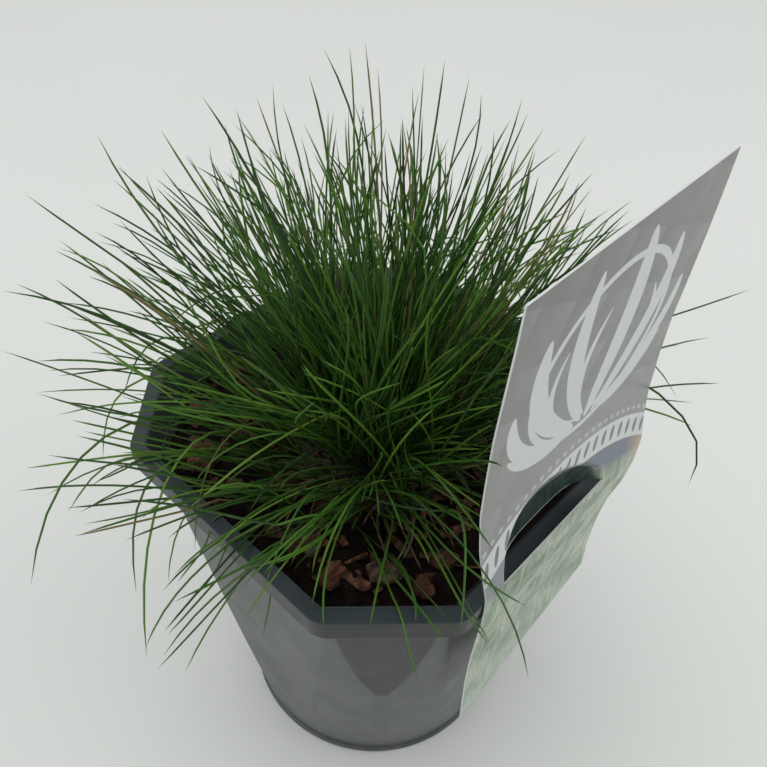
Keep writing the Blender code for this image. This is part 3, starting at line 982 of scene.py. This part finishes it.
class Bundle:
    def __init__(self):
        self.points, self.faces, self.along, self.tone, self.dry = [], [], [], [], []
        self.count = 0

    def add(self, path, radii, tone, dry, rng):
        points, faces, along = needle(path, radii, rng)
        self.points.append(points)
        self.faces += [tuple(k + self.count for k in face) for face in faces]
        self.along.append(along)
        self.tone.append(np.full(len(points), tone))
        self.dry.append(np.full(len(points), dry))
        self.count += len(points)

    def finish(self, name):
        piece = meshPiece(name, np.vstack(self.points), self.faces)
        for label, values in zip(bladeFacts, (self.along, self.tone, self.dry)):
            layer = piece.data.attributes.new(label, "FLOAT", "POINT")
            layer.data.foreach_set("value", np.concatenate(values).astype(np.float32))
        makeActive(piece)
        bpy.ops.object.shade_smooth()
        return piece


def bladeRadii(widest, rings):
    # slender at the foot, even along the blade, and a short blunt point
    t = np.linspace(0, 1, rings + 1)
    return widest * (0.82 + 0.18 * np.minimum(1, 4 * t) - 0.16 * t**2 - 0.55 * t**16)


def drynessOf(rng):
    if rng.uniform() < grass["dryShare"]:
        return rng.uniform(0.5, 1.0)
    return rng.uniform(0.0, 0.18) if rng.uniform() < 0.20 else 0.0


def addBlade(bundle, root, tip, lift, rng, kink=False, tone=None, leave=None):
    path = bladePath(root, tip, lift, rng.normal(0, 0.075), rng, kink, leave)
    widest = rng.uniform(*grass["bladeRadius"])
    path = smoothPath(path, widest)
    if meetsLabel(path) or farForward(path):
        return 0
    tone = rng.uniform() if tone is None else tone
    bundle.add(path, bladeRadii(widest, grass["rings"]), tone, drynessOf(rng), rng)
    return 1


def turnedAside(way, degrees, rng):
    side = unit(np.cross(way, rng.normal(size=3)))
    turn = np.array(Matrix.Rotation(math.radians(degrees), 3, Vector(side)))
    return turn @ way


def readTuft(node):
    points = nodePoints(node)
    centre = np.array(crownCentre)
    away = np.linalg.norm(points - centre, axis=1)
    return points[np.argmin(away)], points[np.argmax(away)], points


def rootNear(root, rng):
    angle = rng.uniform(0, 2 * math.pi)
    out = grass["rootRadius"] * math.sqrt(rng.uniform())
    return domePoint(root[0] + out * math.cos(angle), root[1] + out * math.sin(angle))


def insideBox(point):
    return all(low < value < high for low, value, high in zip(modelBox[0], point, modelBox[1]))


def growTuft(number, tips, rng):
    # stalks stand about the bundle's own direction, and each opens into a few blades
    root, tip, points = readTuft(f"tuft_{number:02d}")
    span = tip - root
    length = np.linalg.norm(span)
    bundle = Bundle()
    ring = 0 if number == 1 else 1 if number <= 7 else 2 if number <= 19 else 3
    toThinSide = 0.5 + 0.5 * math.cos(math.atan2(span[1], span[0]) - grass["thinSide"])
    growth = 1 - (1 - grass["thinShare"]) * toThinSide * min(1, ring)
    count = grass["bladesInLean"].get(ring, grass["bladesInTop"]) * growth
    made, tried = 0, 0
    while made < count and tried < 200:
        start = rootNear(root, rng)
        lean = min(abs(rng.normal(0, grass["stalkSpread"])), grass["widestSpread"])
        if rng.uniform() < grass["strayShare"]:
            lean = rng.uniform(25, 55)
        stalkWay = turnedAside(unit(span), lean, rng)
        lift = (0.10, 0.16, 0.34, 0.62)[ring] * rng.uniform(0.4, 1.3)
        leave = unit(stalkWay + lift * np.array((0, 0, 1.0)))
        for k in range(int(rng.integers(*grass["bladesPerStalk"]))):
            tried += 1
            lean = min(abs(rng.normal(0, grass["bladeSpread"])), grass["widestSpread"])
            way = turnedAside(stalkWay, lean, rng)
            low, high = grass["reach"]
            reach = length * rng.triangular(low, high * 0.94, high)
            foot = start + rng.normal(0, 0.0006, 3)
            end = foot + way * reach
            while not insideBox(end) and reach > 0.03:
                reach *= 0.94
                end = foot + way * reach
            end[2] = max(end[2], 0.150)
            kink = rng.uniform() < grass["kinkShare"]
            made += addBlade(bundle, foot, end, lift, rng, kink, leave=leave)
    for end in tips:
        start = rootNear(root, rng)
        flat = unit(end - start)[2]
        lift = 0.10 + 0.38 * max(0.0, 1 - max(0.0, flat) * 1.2) * rng.uniform(0.7, 1.1)
        addBlade(bundle, start, end, lift, rng, tone=rng.uniform(0.2, 0.7))
    return bundle


def growHanging(number, tips, rng):
    # these rise a little, cross the rim and droop outside it
    root, tip, points = readTuft(f"tuft_{number:02d}")
    centre = np.array(crownCentre)
    out = unit((tip - centre) * np.array((1, 1, 0)))
    side = np.array((-out[1], out[0], 0))
    peak = points[:, 2].max()
    reach = (tip - centre) @ out
    bundle = Bundle()
    thin = 0.5 + 0.5 * math.cos(math.atan2(out[1], out[0]) - grass["thinSide"])
    count = grass["bladesInHanging"] * (1 - (1 - grass["thinShare"]) * thin)
    made, tried = 0, 0
    while made < count and tried < 60:
        tried += 1
        start = rootNear(root, rng)
        drift = rng.normal(0, 0.022)
        far = rng.uniform(0.62, 1.0)
        end = centre + out * reach * far + side * drift * 1.7
        droop = max(0.0, far - 0.80) / 0.20
        end[2] = 0.160 + (tip[2] - 0.160) * droop * rng.uniform(0.5, 1.0)
        first = start + out * reach * 0.25 + np.array((0, 0, (peak - start[2]) * rng.uniform(0.9, 1.6)))
        second = centre + out * reach * (far - 0.06) + side * drift
        second[2] = peak + rng.uniform(0.000, 0.016)
        widest = rng.uniform(*grass["bladeRadius"])
        path = smoothPath(curvedPath(start, first, second, end), widest)
        if meetsLabel(path) or farForward(path):
            continue
        dry = rng.uniform(0.4, 1.0) if rng.uniform() < 0.06 else 0.0
        bundle.add(path, bladeRadii(widest, grass["rings"]), rng.uniform(), dry, rng)
        made += 1
    for end in tips:
        addBlade(bundle, rootNear(root, rng), end, 0.75, rng, tone=rng.uniform(0.3, 0.8))
    return bundle


def growOverLabel(bundle, rng):
    for places in overLabel:
        root = domePoint(crownCentre.x - 0.010 + rng.normal(0, 0.004), crownCentre.y - 0.016)
        path = pathThrough([root, *[np.array(place, float) / 1000 for place in places]])
        widest = rng.uniform(*grass["bladeRadius"])
        radii = bladeRadii(widest, grass["rings"])
        bundle.add(smoothPath(path, widest), radii, rng.uniform(0.2, 0.7), 0.0, rng)


def makeBladeGreen():
    material, tree, shader = newMaterial("bladeGreen", Roughness=0.5, Specular_IOR_Level=0.3)
    along, tone, dry = (put(tree, "Attribute", attribute_name=fact).outputs["Fac"] for fact in bladeFacts)
    place = objectPlace(tree)
    green = ramp(
        tree,
        tone,
        (0.0, (0.005, 0.025, 0.003)),
        (0.3, (0.014, 0.060, 0.004)),
        (0.65, (0.040, 0.128, 0.009)),
        (1.0, (0.125, 0.260, 0.026)),
    )
    mottle = noiseAt(tree, place, 240, 3)
    green = blend(tree, remap(tree, mottle, 0.35, 0.7, 0.0, 0.22), green, (0.10, 0.20, 0.02))
    # the rolled blade shows a paler blue-green underside in long streaks
    streak = remap(tree, noiseAt(tree, place, 75, 2), 0.54, 0.66, 0.0, 0.30)
    green = blend(tree, streak, green, (0.070, 0.150, 0.045))
    straw = blend(tree, mottle, (0.15, 0.105, 0.040), (0.28, 0.215, 0.095))
    green = blend(tree, dry, green, straw)
    tipDry = times(tree, remap(tree, along, 0.92, 1.0), 0.40)
    green = blend(tree, tipDry, green, (0.10, 0.11, 0.03))
    # darker towards the foot as painted shade inside the tuft, with a paler sheath at the very bottom
    green = blend(tree, remap(tree, along, 0.50, 0.10, 0.0, 0.55), green, (0.006, 0.024, 0.003))
    sheath = blend(tree, tone, (0.085, 0.115, 0.030), (0.040, 0.085, 0.012))
    green = blend(tree, remap(tree, along, 0.10, 0.0), green, sheath)
    tree.links.new(green, shader.inputs["Base Color"])
    gloss = remap(tree, mottle, 0.3, 0.7, 0.44, 0.58)
    tree.links.new(gloss, shader.inputs["Roughness"])
    return material


def shareTips(rng):
    # every outstanding tip goes to the bundle that points the same way
    shared = {number: [] for number in range(1, 42)}
    centre = np.array(crownCentre)
    for tip in longTips:
        end = np.array(tip, float) / 1000
        low = end[2] < 0.150
        best, score = 1, -2
        for number in range(32 if low else 1, 42 if low else 32):
            match = unit(readTuft(f"tuft_{number:02d}")[1] - centre) @ unit(end - centre)
            if match > score:
                best, score = number, match
        shared[best].append(end)
    return shared


bladeGreen = makeBladeGreen()
grassRng = np.random.default_rng(grass["seed"])
sharedTips = shareTips(grassRng)
bladeFaces = 0
bladeCounts = []
for number in range(1, 42):
    grow = growHanging if number >= 32 else growTuft
    bundle = grow(number, sharedTips[number], grassRng)
    if number == 40:
        growOverLabel(bundle, grassRng)
    bladeCounts.append(len(bundle.points))
    blades = bundle.finish(f"blades{number:02d}")
    settle(blades, f"tuft_{number:02d}", "blades", bladeGreen)
    bladeFaces += len(blades.data.polygons)
print("grass finished:", bladeFaces, "faces,", sum(bladeCounts), "blades in bundles of")
print(min(bladeCounts), "to", max(bladeCounts))


# Crown: a dark matted dome with the pale bases of the stalks standing in it, and old dead straws

stalks = {"count": 260, "length": (0.008, 0.019), "radius": (0.0005, 0.00095), "straws": 70, "seed": 3}


def domeSpot(angle, away):
    return domePoint(crownCentre.x + away * math.cos(angle), crownCentre.y + away * math.sin(angle))


def makeCrownPiece(rng):
    dropSelection()
    bpy.ops.mesh.primitive_uv_sphere_add(segments=48, ring_count=24, radius=1)
    dome = bpy.context.object
    startEdit(dome)
    selectMesh("SELECT")
    bpy.ops.mesh.bisect(plane_co=(0, 0, 0), plane_no=(0, 0, -1), use_fill=True, clear_outer=True)
    endEdit()
    points = pointsOf(dome)
    points *= np.array((crown["radius"] * 0.97, crown["radius"] * 0.97, crown["height"] * 0.8))
    points[:, 2] += 0.0006 * bumpyNoise(points, ((0.006, 0.8), (0.003, 0.8)), rng) * (points[:, 2] > 0.0005)
    points += np.array((crownCentre.x, crownCentre.y, crown["floor"]))
    movePoints(dome, points)
    for label in bladeFacts:
        dome.data.attributes.new(label, "FLOAT", "POINT")
    makeActive(dome)
    bpy.ops.object.shade_smooth()
    bundle = Bundle()
    for k in range(stalks["count"]):
        angle = rng.uniform(0, 2 * math.pi)
        away = math.sqrt(rng.uniform(0, 1)) * crown["radius"] * 0.97
        root = domeSpot(angle, away)
        lean = math.radians(72) * (away / crown["radius"]) * rng.uniform(0.7, 1.1)
        way = np.array((math.sin(lean) * math.cos(angle), math.sin(lean) * math.sin(angle), math.cos(lean)))
        long = rng.uniform(*stalks["length"])
        t = np.linspace(0, 1, 6)[:, None]
        path = root + way * long * t + np.array((0, 0, 0.0015)) * t * (1 - t)
        radius = rng.uniform(*stalks["radius"]) * np.clip(1.05 - 0.75 * t[:, 0] ** 1.5, 0.2, 1.1)
        bundle.add(smoothPath(path, 0.0005), radius, rng.uniform(), 0.0, rng)
    for k in range(stalks["straws"]):
        angle = rng.uniform(0, 2 * math.pi)
        away = rng.uniform(0.5, 1.0) * crown["radius"]
        root = domeSpot(angle, away)
        heading = angle + rng.normal(0, 0.8)
        end = root + rng.uniform(0.010, 0.030) * np.array((math.cos(heading), math.sin(heading), 0))
        end[2] = crown["floor"] + rng.uniform(0.001, 0.005)
        path = smoothPath(bladePath(root, end, 0.3, rng.normal(0, 0.1), rng), 0.0004)
        bundle.add(path, bladeRadii(0.0004, grass["rings"]), rng.uniform(), 1.0, rng)
    return joinPieces([dome, bundle.finish("stalkBases")], "crownBase")


def makeStalkPale():
    material, tree, shader = newMaterial("stalkPale", Roughness=0.6)
    along, tone, dry = (put(tree, "Attribute", attribute_name=fact).outputs["Fac"] for fact in bladeFacts)
    fibrePlace = objectPlace(tree, (1, 1, 0.25))
    fibres = useGroup(tree, fibreGroup, place=fibrePlace, scale=700.0)
    pale = blend(tree, tone, (0.15, 0.16, 0.065), (0.060, 0.105, 0.022))
    pale = blend(tree, remap(tree, along, 0.25, 0.9), pale, (0.025, 0.075, 0.008))
    pale = blend(tree, dry, pale, (0.13, 0.080, 0.036))
    mat = blend(tree, fibres["coarse"], (0.004, 0.003, 0.002), (0.024, 0.017, 0.009))
    bare = maths(tree, "LESS_THAN", plus(tree, tone, along), 0.0005)
    pale = blend(tree, bare, pale, mat)
    pale = blend(tree, remap(tree, fibres["fine"], 0.5, 0.7, 0.0, 0.4), pale, (0.05, 0.035, 0.02))
    tree.links.new(pale, shader.inputs["Base Color"])
    addBump(tree, shader, fibres["height"], 0.4, 0.0005)
    return material


crownPiece = makeCrownPiece(np.random.default_rng(stalks["seed"]))
settle(crownPiece, "crown", "stalk_bases", makeStalkPale())
print("crown finished:", len(crownPiece.data.polygons), "faces")


# Plant label: a printed plastic sheet with a straight slit. The flange goes through the slit, and the
# sheet above it dips inwards in a half-moon.

label = {
    "width": 0.0810,
    "height": 0.1835,
    "thickness": 0.0005,
    "foot": Vector((0.0077, 0, 0.0783)),
    "roll": math.radians(2.55),
    "slitUp": 0.0808,
    "slitHalf": 0.0252,
    "slitOffset": -0.0073,
    "dimpleHeight": 0.0235,
    "dimpleSkew": 0.35,
    "dimpleDepth": 0.0070,
    "lipLift": 0.0009,
    "columns": 82,
    "rows": 184,
    # height up the sheet, then how far its left and right edge stand off from the pot's axis
    "bend": (
        (0.000, 0.0712, 0.0675),
        (0.015, 0.0710, 0.0669),
        (0.029, 0.0709, 0.0673),
        (0.044, 0.0713, 0.0687),
        (0.058, 0.0722, 0.0717),
        (0.070, 0.0731, 0.0731),
        (0.0820, 0.0731, 0.0731),
        (0.089, 0.0714, 0.0717),
        (0.101, 0.0689, 0.0702),
        (0.116, 0.0675, 0.0697),
        (0.130, 0.0676, 0.0697),
        (0.145, 0.0680, 0.0705),
        (0.160, 0.0690, 0.0712),
        (0.172, 0.0698, 0.0716),
        (0.1835, 0.0704, 0.0719),
    ),
}


def smoothBend():
    # the bend table read at every millimetre and evened out
    table = np.array(label["bend"])
    heights = np.linspace(0, label["height"], 185)
    kernel = np.hanning(9) / np.hanning(9).sum()
    edges = []
    for column in (1, 2):
        values = np.interp(heights, table[:, 0], table[:, column])
        edges.append(np.convolve(np.pad(values, 4, mode="edge"), kernel, mode="valid"))
    return heights, edges[0], edges[1]


def dimpleDepth(across, up):
    share = (across - label["slitOffset"]) / label["slitHalf"]
    reach = 1 - share**2
    if reach <= 0 or up < label["slitUp"] - 1e-6:
        return 0.0
    top = label["dimpleHeight"] * math.sqrt(reach) * (1 - label["dimpleSkew"] * share)
    fall = 1 - (up - label["slitUp"]) / top
    if fall <= 0:
        return 0.0
    return label["dimpleDepth"] * (1 - (1 - reach) ** 2) * math.sin(0.5 * math.pi * fall)


def makeLabelSheet():
    columns, rows = label["columns"], label["rows"]
    dropSelection()
    bpy.ops.mesh.primitive_grid_add(x_subdivisions=columns, y_subdivisions=rows, size=1)
    sheet = bpy.context.object
    slitRow = round(label["slitUp"] / label["height"] * rows)
    slitSpot = slitRow / rows - 0.5

    def onSlit(middle, way):
        across = middle.x * label["width"] - label["slitOffset"]
        return abs(way.y) < 1e-6 and abs(middle.y - slitSpot) < 1e-4 and abs(across) < label["slitHalf"]

    startEdit(sheet)
    pick(sheet, "EDGE", onSlit)
    bpy.ops.mesh.edge_split(type="EDGE")
    endEdit()
    mesh = sheet.data
    above = np.zeros(len(mesh.vertices))
    for face in mesh.polygons:
        for k in face.vertices:
            above[k] += face.center.y - mesh.vertices[k].co.y
    heights, leftEdge, rightEdge = smoothBend()
    turn = Matrix.Rotation(-label["roll"], 3, "Y")
    plan = {}
    for vertex in mesh.vertices:
        across = vertex.co.x * label["width"]
        share = vertex.co.y + 0.5
        # rows are spaced so that one of them lies exactly on the slit
        if share <= slitRow / rows:
            up = label["slitUp"] * share * rows / slitRow
        else:
            upper = label["height"] - label["slitUp"]
            up = label["height"] - upper * (1 - share) * rows / (rows - slitRow)
        dip = dimpleDepth(across, up)
        flatUp = up
        if abs(up - label["slitUp"]) < 1e-6:
            inside = abs(across - label["slitOffset"]) < label["slitHalf"] * 0.985
            if inside and above[vertex.index] > 1e-6:
                up += 0.0003 + label["lipLift"] * dip / label["dimpleDepth"]
            else:
                dip = 0.0
        left = np.interp(up, heights, leftEdge)
        right = np.interp(up, heights, rightEdge)
        stand = left + (right - left) * (across / label["width"] + 0.5)
        spot = turn @ Vector((across, 0, up)) + label["foot"]
        spot.y = -(stand - dip)
        plan[vertex.index] = (across / label["width"] + 0.5, flatUp / label["height"])
        vertex.co = spot
    layer = mesh.uv_layers.active or mesh.uv_layers.new(name="print")
    layer.name = "print"
    for loop in mesh.loops:
        layer.data[loop.index].uv = plan[loop.vertex_index]
    mesh.update()
    # the printed side faces -Y
    if sum(face.normal.y for face in mesh.polygons) > 0:
        startEdit(sheet)
        selectMesh("SELECT")
        bpy.ops.mesh.flip_normals()
        endEdit()
    mesh.materials.append(None)
    mesh.materials.append(None)
    addModifier(
        sheet,
        "SOLIDIFY",
        thickness=label["thickness"],
        offset=0.0,
        material_offset=1,
        material_offset_rim=1,
    )
    makeActive(sheet)
    bpy.ops.object.shade_smooth_by_angle(angle=math.radians(50))
    sheet.name = "labelSheet"
    mesh.name = "labelSheet"
    return sheet


# The print: a grey panel with a faint quilted pattern and a white spray of grass, a pale arched band
# with a row of small leaves, and a washed picture of grass below

labelPrint = {
    # height of the band's lower border where it meets the left edge, at its top and at the right edge
    "arch": ((-40.5, 86.5), (4, 97.5), (40.5, 83)),
    "bandWidth": 9.6,
    "strip": 7.5,
    "tile": 15.0,  # millimetres
    # each blade of the spray: foot, tip, bulge to its left, width, in millimetres
    "spray": (
        ((-6, 121), (-34, 147), 9, 5.4),
        ((-4, 120), (-27, 166), 8, 7.0),
        ((-1, 120), (-12, 176), 5, 6.2),
        ((1, 120), (7, 178), -4, 7.6),
        ((4, 120), (24, 168), -7, 6.4),
        ((6, 121), (34, 150), -9, 5.6),
        ((-7, 119), (-33, 130), 4, 3.6),
        ((7, 119), (33, 132), -4, 3.6),
        ((-2, 122), (-17, 156), 9, 2.4),
        ((2, 122), (18, 156), -9, 2.4),
        ((0, 122), (-2, 160), 6, 2.6),
    ),
    "ring": ((0, 145), 27.0, 2.4),
}


def addStroke(tree, point, foot, tip, bulge, width):
    # works out the arc through foot and tip that bulges sideways by bulge
    footV, tipV = Vector(foot), Vector(tip)
    chord = tipV - footV
    side = Vector((-chord.y, chord.x)).normalized()
    if bulge < 0:
        side = -side
    sag = abs(bulge)
    radius = (chord.length**2 / 4 + sag**2) / (2 * sag)
    centre = (footV + tipV) / 2 - side * (radius - sag)
    turn = math.atan2(side.y, side.x)
    halfSpan = math.asin(min(1.0, chord.length / 2 / radius))
    values = {"centreX": centre.x, "centreY": centre.y, "turn": turn, "radius": radius}
    return useGroup(tree, strokeGroup, point=point, halfSpan=halfSpan, width=float(width), **values)["mask"]


def makeLabelPrint():
    material, tree, shader = newMaterial("labelPrint", Roughness=0.3)
    uv = put(tree, "UVMap", uv_map="print")
    plan = put(tree, "Mapping", in_Vector=uv.outputs[0])
    plan.inputs["Scale"].default_value = (label["width"] * 1000, label["height"] * 1000, 1)
    plan.inputs["Location"].default_value = (-label["width"] * 500, 0, 0)
    point = plan.outputs[0]
    axes = put(tree, "SeparateXYZ", in_0=point)
    x, y = axes.outputs["X"], axes.outputs["Y"]
    # grey panel, quilted in tilted squares of slightly different tone
    quilt = put(tree, "Mapping", in_Vector=point)
    quilt.inputs["Rotation"].default_value = (0, 0, math.radians(24))
    quilt.inputs["Scale"].default_value = (1 / labelPrint["tile"], 1 / labelPrint["tile"], 0)
    cell = put(tree, "VectorMath", operation="FLOOR", in_0=quilt.outputs[0])
    withinCell = put(tree, "VectorMath", operation="FRACTION", in_0=quilt.outputs[0])
    dice = put(tree, "TexWhiteNoise", in_Vector=cell.outputs[0])
    grey = ramp(
        tree,
        remap(tree, y, 85, 184),
        (0.0, (0.275, 0.275, 0.271)),
        (0.55, (0.203, 0.200, 0.195)),
        (1.0, (0.160, 0.157, 0.152)),
    )
    grey = blend(tree, remap(tree, x, 0, 42, 0.0, 0.28), grey, (0.150, 0.147, 0.143))
    grey = blend(tree, remap(tree, dice.outputs["Value"], 0, 1, 0.0, 0.36), grey, (0.135, 0.132, 0.128))
    cellAxes = put(tree, "SeparateXYZ", in_0=withinCell.outputs[0])
    tileShade = times(tree, cellAxes.outputs["X"], cellAxes.outputs["Y"])
    grey = blend(tree, times(tree, tileShade, 0.24), grey, (0.42, 0.42, 0.41))
    # spray of grass
    spray = None
    for foot, tip, bulge, width in labelPrint["spray"]:
        stroke = addStroke(tree, point, foot, tip, bulge, width)
        spray = stroke if spray is None else maths(tree, "MAXIMUM", spray, stroke)
    (ringX, ringY), ringRadius, ringWidth = labelPrint["ring"]
    ringGap = maths(tree, "SQRT", squares(tree, minus(tree, x, ringX), minus(tree, y, ringY)))
    ring = maths(tree, "ABSOLUTE", minus(tree, ringGap, ringRadius))
    ring = remap(tree, ring, ringWidth / 2, ringWidth / 2 - 0.2)
    white = (0.55, 0.575, 0.555)
    upper = blend(tree, maths(tree, "MAXIMUM", spray, ring), grey, white)
    # arched band
    (leftX, leftUp), (topX, topUp), (rightX, rightUp) = labelPrint["arch"]
    fit = np.polyfit((leftX, topX, rightX), (leftUp, topUp, rightUp), 2)
    slope = maths(tree, "MULTIPLY_ADD", x, float(fit[0]), float(fit[1]))
    arch = maths(tree, "MULTIPLY_ADD", slope, x, float(fit[2]))
    level = minus(tree, y, arch)  # height above the band's lower border
    bandHigh = labelPrint["bandWidth"]
    inBand = maths(
        tree, "MULTIPLY", remap(tree, level, 0.0, 0.2), remap(tree, level, bandHigh, bandHigh - 0.2)
    )
    middle = minus(tree, level, bandHigh / 2)
    beat = minus(tree, maths(tree, "FRACT", maths(tree, "DIVIDE", x, 4.6)), 0.5)
    lean = times(tree, middle, 0.05)
    leafX = times(tree, minus(tree, beat, lean), 4.6)
    leafY = maths(tree, "DIVIDE", middle, 3.3)
    leafSize = squares(tree, leafX, leafY)
    leaf = remap(tree, leafSize, 1.0, 0.75)
    band = blend(tree, leaf, white, (0.15, 0.165, 0.175))
    dots = minus(tree, maths(tree, "FRACT", maths(tree, "DIVIDE", x, 3.4)), 0.5)
    dotX = times(tree, dots, 3.4)
    dotY = minus(tree, level, bandHigh + 2.6)
    dotted = remap(tree, squares(tree, dotX, dotY), 0.9, 0.55)
    upper = blend(tree, times(tree, dotted, 0.6), upper, white)
    # picture below the band: soft green streaks with pinkish and straw patches
    warp = put(tree, "TexNoise", in_Vector=point, in_Scale=0.05, in_Detail=2.0)
    drawn = put(tree, "VectorMath", operation="MULTIPLY_ADD", in_0=warp.outputs["Color"])
    drawn.inputs[1].default_value = (9, 16, 0)
    tree.links.new(point, drawn.inputs[2])
    streakPlace = put(tree, "Mapping", in_Vector=drawn.outputs[0])
    streakPlace.inputs["Rotation"].default_value = (0, 0, math.radians(-14))
    streakPlace.inputs["Scale"].default_value = (0.52, 0.040, 1)
    streaks = noiseAt(tree, streakPlace.outputs[0], 1.0, 4, 0.6)
    patches = noiseAt(tree, point, 0.065, 4, 0.6)
    wash = ramp(
        tree,
        patches,
        (0.33, (0.040, 0.085, 0.036)),
        (0.45, (0.135, 0.215, 0.115)),
        (0.55, (0.300, 0.365, 0.275)),
        (0.64, (0.380, 0.375, 0.290)),
        (0.72, (0.400, 0.255, 0.205)),
    )
    wash = blend(tree, remap(tree, streaks, 0.54, 0.66, 0.0, 0.70), wash, (0.49, 0.56, 0.38))
    wash = blend(tree, remap(tree, streaks, 0.46, 0.33, 0.0, 0.75), wash, (0.055, 0.095, 0.055))
    # painted glare: the picture turns paler towards its bottom left
    paintedGlare = times(tree, remap(tree, y, 46, 4), remap(tree, x, 30, -40, 0.20, 0.70))
    wash = blend(tree, paintedGlare, wash, (0.37, 0.45, 0.38))
    # dusky strip right under the band
    stripTone = ramp(
        tree,
        remap(tree, x, -42, 42),
        (0.0, (0.25, 0.275, 0.29)),
        (0.30, (0.115, 0.140, 0.165)),
        (0.86, (0.125, 0.150, 0.185)),
        (0.97, (0.40, 0.29, 0.18)),
    )
    stripLow = -labelPrint["strip"]
    strip = remap(tree, level, stripLow - 4, stripLow + 1.5)
    lower = blend(tree, strip, wash, stripTone)
    # the dip over the rim is darkened as painted deep shade
    dipX = maths(tree, "DIVIDE", minus(tree, x, label["slitOffset"] * 1000), label["slitHalf"] * 1000)
    dipTall = maths(tree, "MULTIPLY_ADD", dipX, -label["dimpleSkew"] * 23.5, 23.5)
    dipY = maths(tree, "DIVIDE", minus(tree, y, label["slitUp"] * 1000), dipTall)
    dipReach = squares(tree, dipX, dipY)
    dip = times(tree, remap(tree, dipReach, 1.04, 0.80), remap(tree, y, 80.7, 80.9))
    dipPaintedShade = blend(tree, remap(tree, streaks, 0.4, 0.7), (0.012, 0.024, 0.025), (0.048, 0.080, 0.066))
    dip = times(tree, dip, minus(tree, 1.0, times(tree, inBand, 0.35)))
    colour = blend(tree, remap(tree, level, -0.1, 0.1), lower, upper)
    colour = blend(tree, inBand, colour, band)
    colour = blend(tree, dip, colour, dipPaintedShade)
    tree.links.new(colour, shader.inputs["Base Color"])
    place = objectPlace(tree)
    gloss = remap(tree, noiseAt(tree, place, 160, 4), 0.3, 0.7, 0.26, 0.36)
    tree.links.new(gloss, shader.inputs["Roughness"])
    addBump(tree, shader, noiseAt(tree, place, 22, 1), 0.03, 0.0015)
    return material


def makeLabelBack():
    material, tree, shader = newMaterial("labelBack", Roughness=0.38)
    place = objectPlace(tree)
    tone = ramp(tree, noiseAt(tree, place, 70, 4), (0.3, (0.60, 0.61, 0.59)), (0.7, (0.68, 0.69, 0.67)))
    specks = useGroup(tree, speckGroup, place=place, spotsPerMetre=420.0, share=0.03)["mask"]
    tone = blend(tree, times(tree, specks, 0.6), tone, (0.14, 0.10, 0.07))
    tree.links.new(tone, shader.inputs["Base Color"])
    addBump(tree, shader, noiseAt(tree, place, 40, 2), 0.03, 0.0010)
    return material


labelPiece = makeLabelSheet()
sides = [face.material_index for face in labelPiece.data.polygons]
settle(labelPiece, "plant_label", "printed_label", makeLabelPrint(), makeLabelBack())
labelPiece.data.polygons.foreach_set("material_index", sides)
print("label finished:", len(labelPiece.data.polygons), "faces")


# Floor, light and camera

studio = {
    "cameraPlace": (-0.13878, -0.12519, 0.34288),
    "cameraTurn": (46.602, -1.565, -46.47),
    "lens": 36.0,
    "skyStrength": 0.80,
    "keyEnergy": 5.0,
    "fillEnergy": 4.0,
}


def addSoftLight(name, place, target, size, energy):
    light = bpy.data.lights.new(name, "AREA")
    light.shape = "DISK"
    light.size = size
    light.energy = energy
    lamp = bpy.data.objects.new(name, light)
    lamp.location = place
    lamp.rotation_euler = (Vector(target) - Vector(place)).to_track_quat("-Z", "Y").to_euler()
    bpy.context.scene.collection.objects.link(lamp)


def makeFloor():
    dropSelection()
    bpy.ops.mesh.primitive_plane_add(size=6, location=(0, 0, -0.0005))
    floor = bpy.context.object
    floor.name = "floor"
    material, tree, shader = newMaterial("paleFloor", Roughness=0.55)
    place = objectPlace(tree)
    tone = ramp(tree, noiseAt(tree, place, 3, 2), (0.3, (0.700, 0.715, 0.675)), (0.7, (0.720, 0.735, 0.695)))
    tree.links.new(tone, shader.inputs["Base Color"])
    floor.data.materials.append(material)


makeFloor()
world = bpy.data.worlds.new("softSky")
world.use_nodes = True
world.node_tree.nodes["Background"].inputs["Color"].default_value = (0.97, 0.985, 1.0, 1)
world.node_tree.nodes["Background"].inputs["Strength"].default_value = studio["skyStrength"]
bpy.context.scene.world = world
addSoftLight("topLight", (-0.25, 0.45, 1.5), (0, 0, 0.1), 1.4, studio["keyEnergy"])
addSoftLight("sideLight", (0.9, -1.0, 0.9), (0, 0, 0.1), 1.2, studio["fillEnergy"])

cameraData = bpy.data.cameras.new("photoView")
cameraData.lens = studio["lens"]
cameraData.sensor_width = 36.0
camera = bpy.data.objects.new("photoView", cameraData)
camera.location = studio["cameraPlace"]
camera.rotation_euler = [math.radians(angle) for angle in studio["cameraTurn"]]
bpy.context.scene.collection.objects.link(camera)
bpy.context.scene.camera = camera
bpy.context.scene.view_settings.view_transform = "Standard"
print("studio finished")
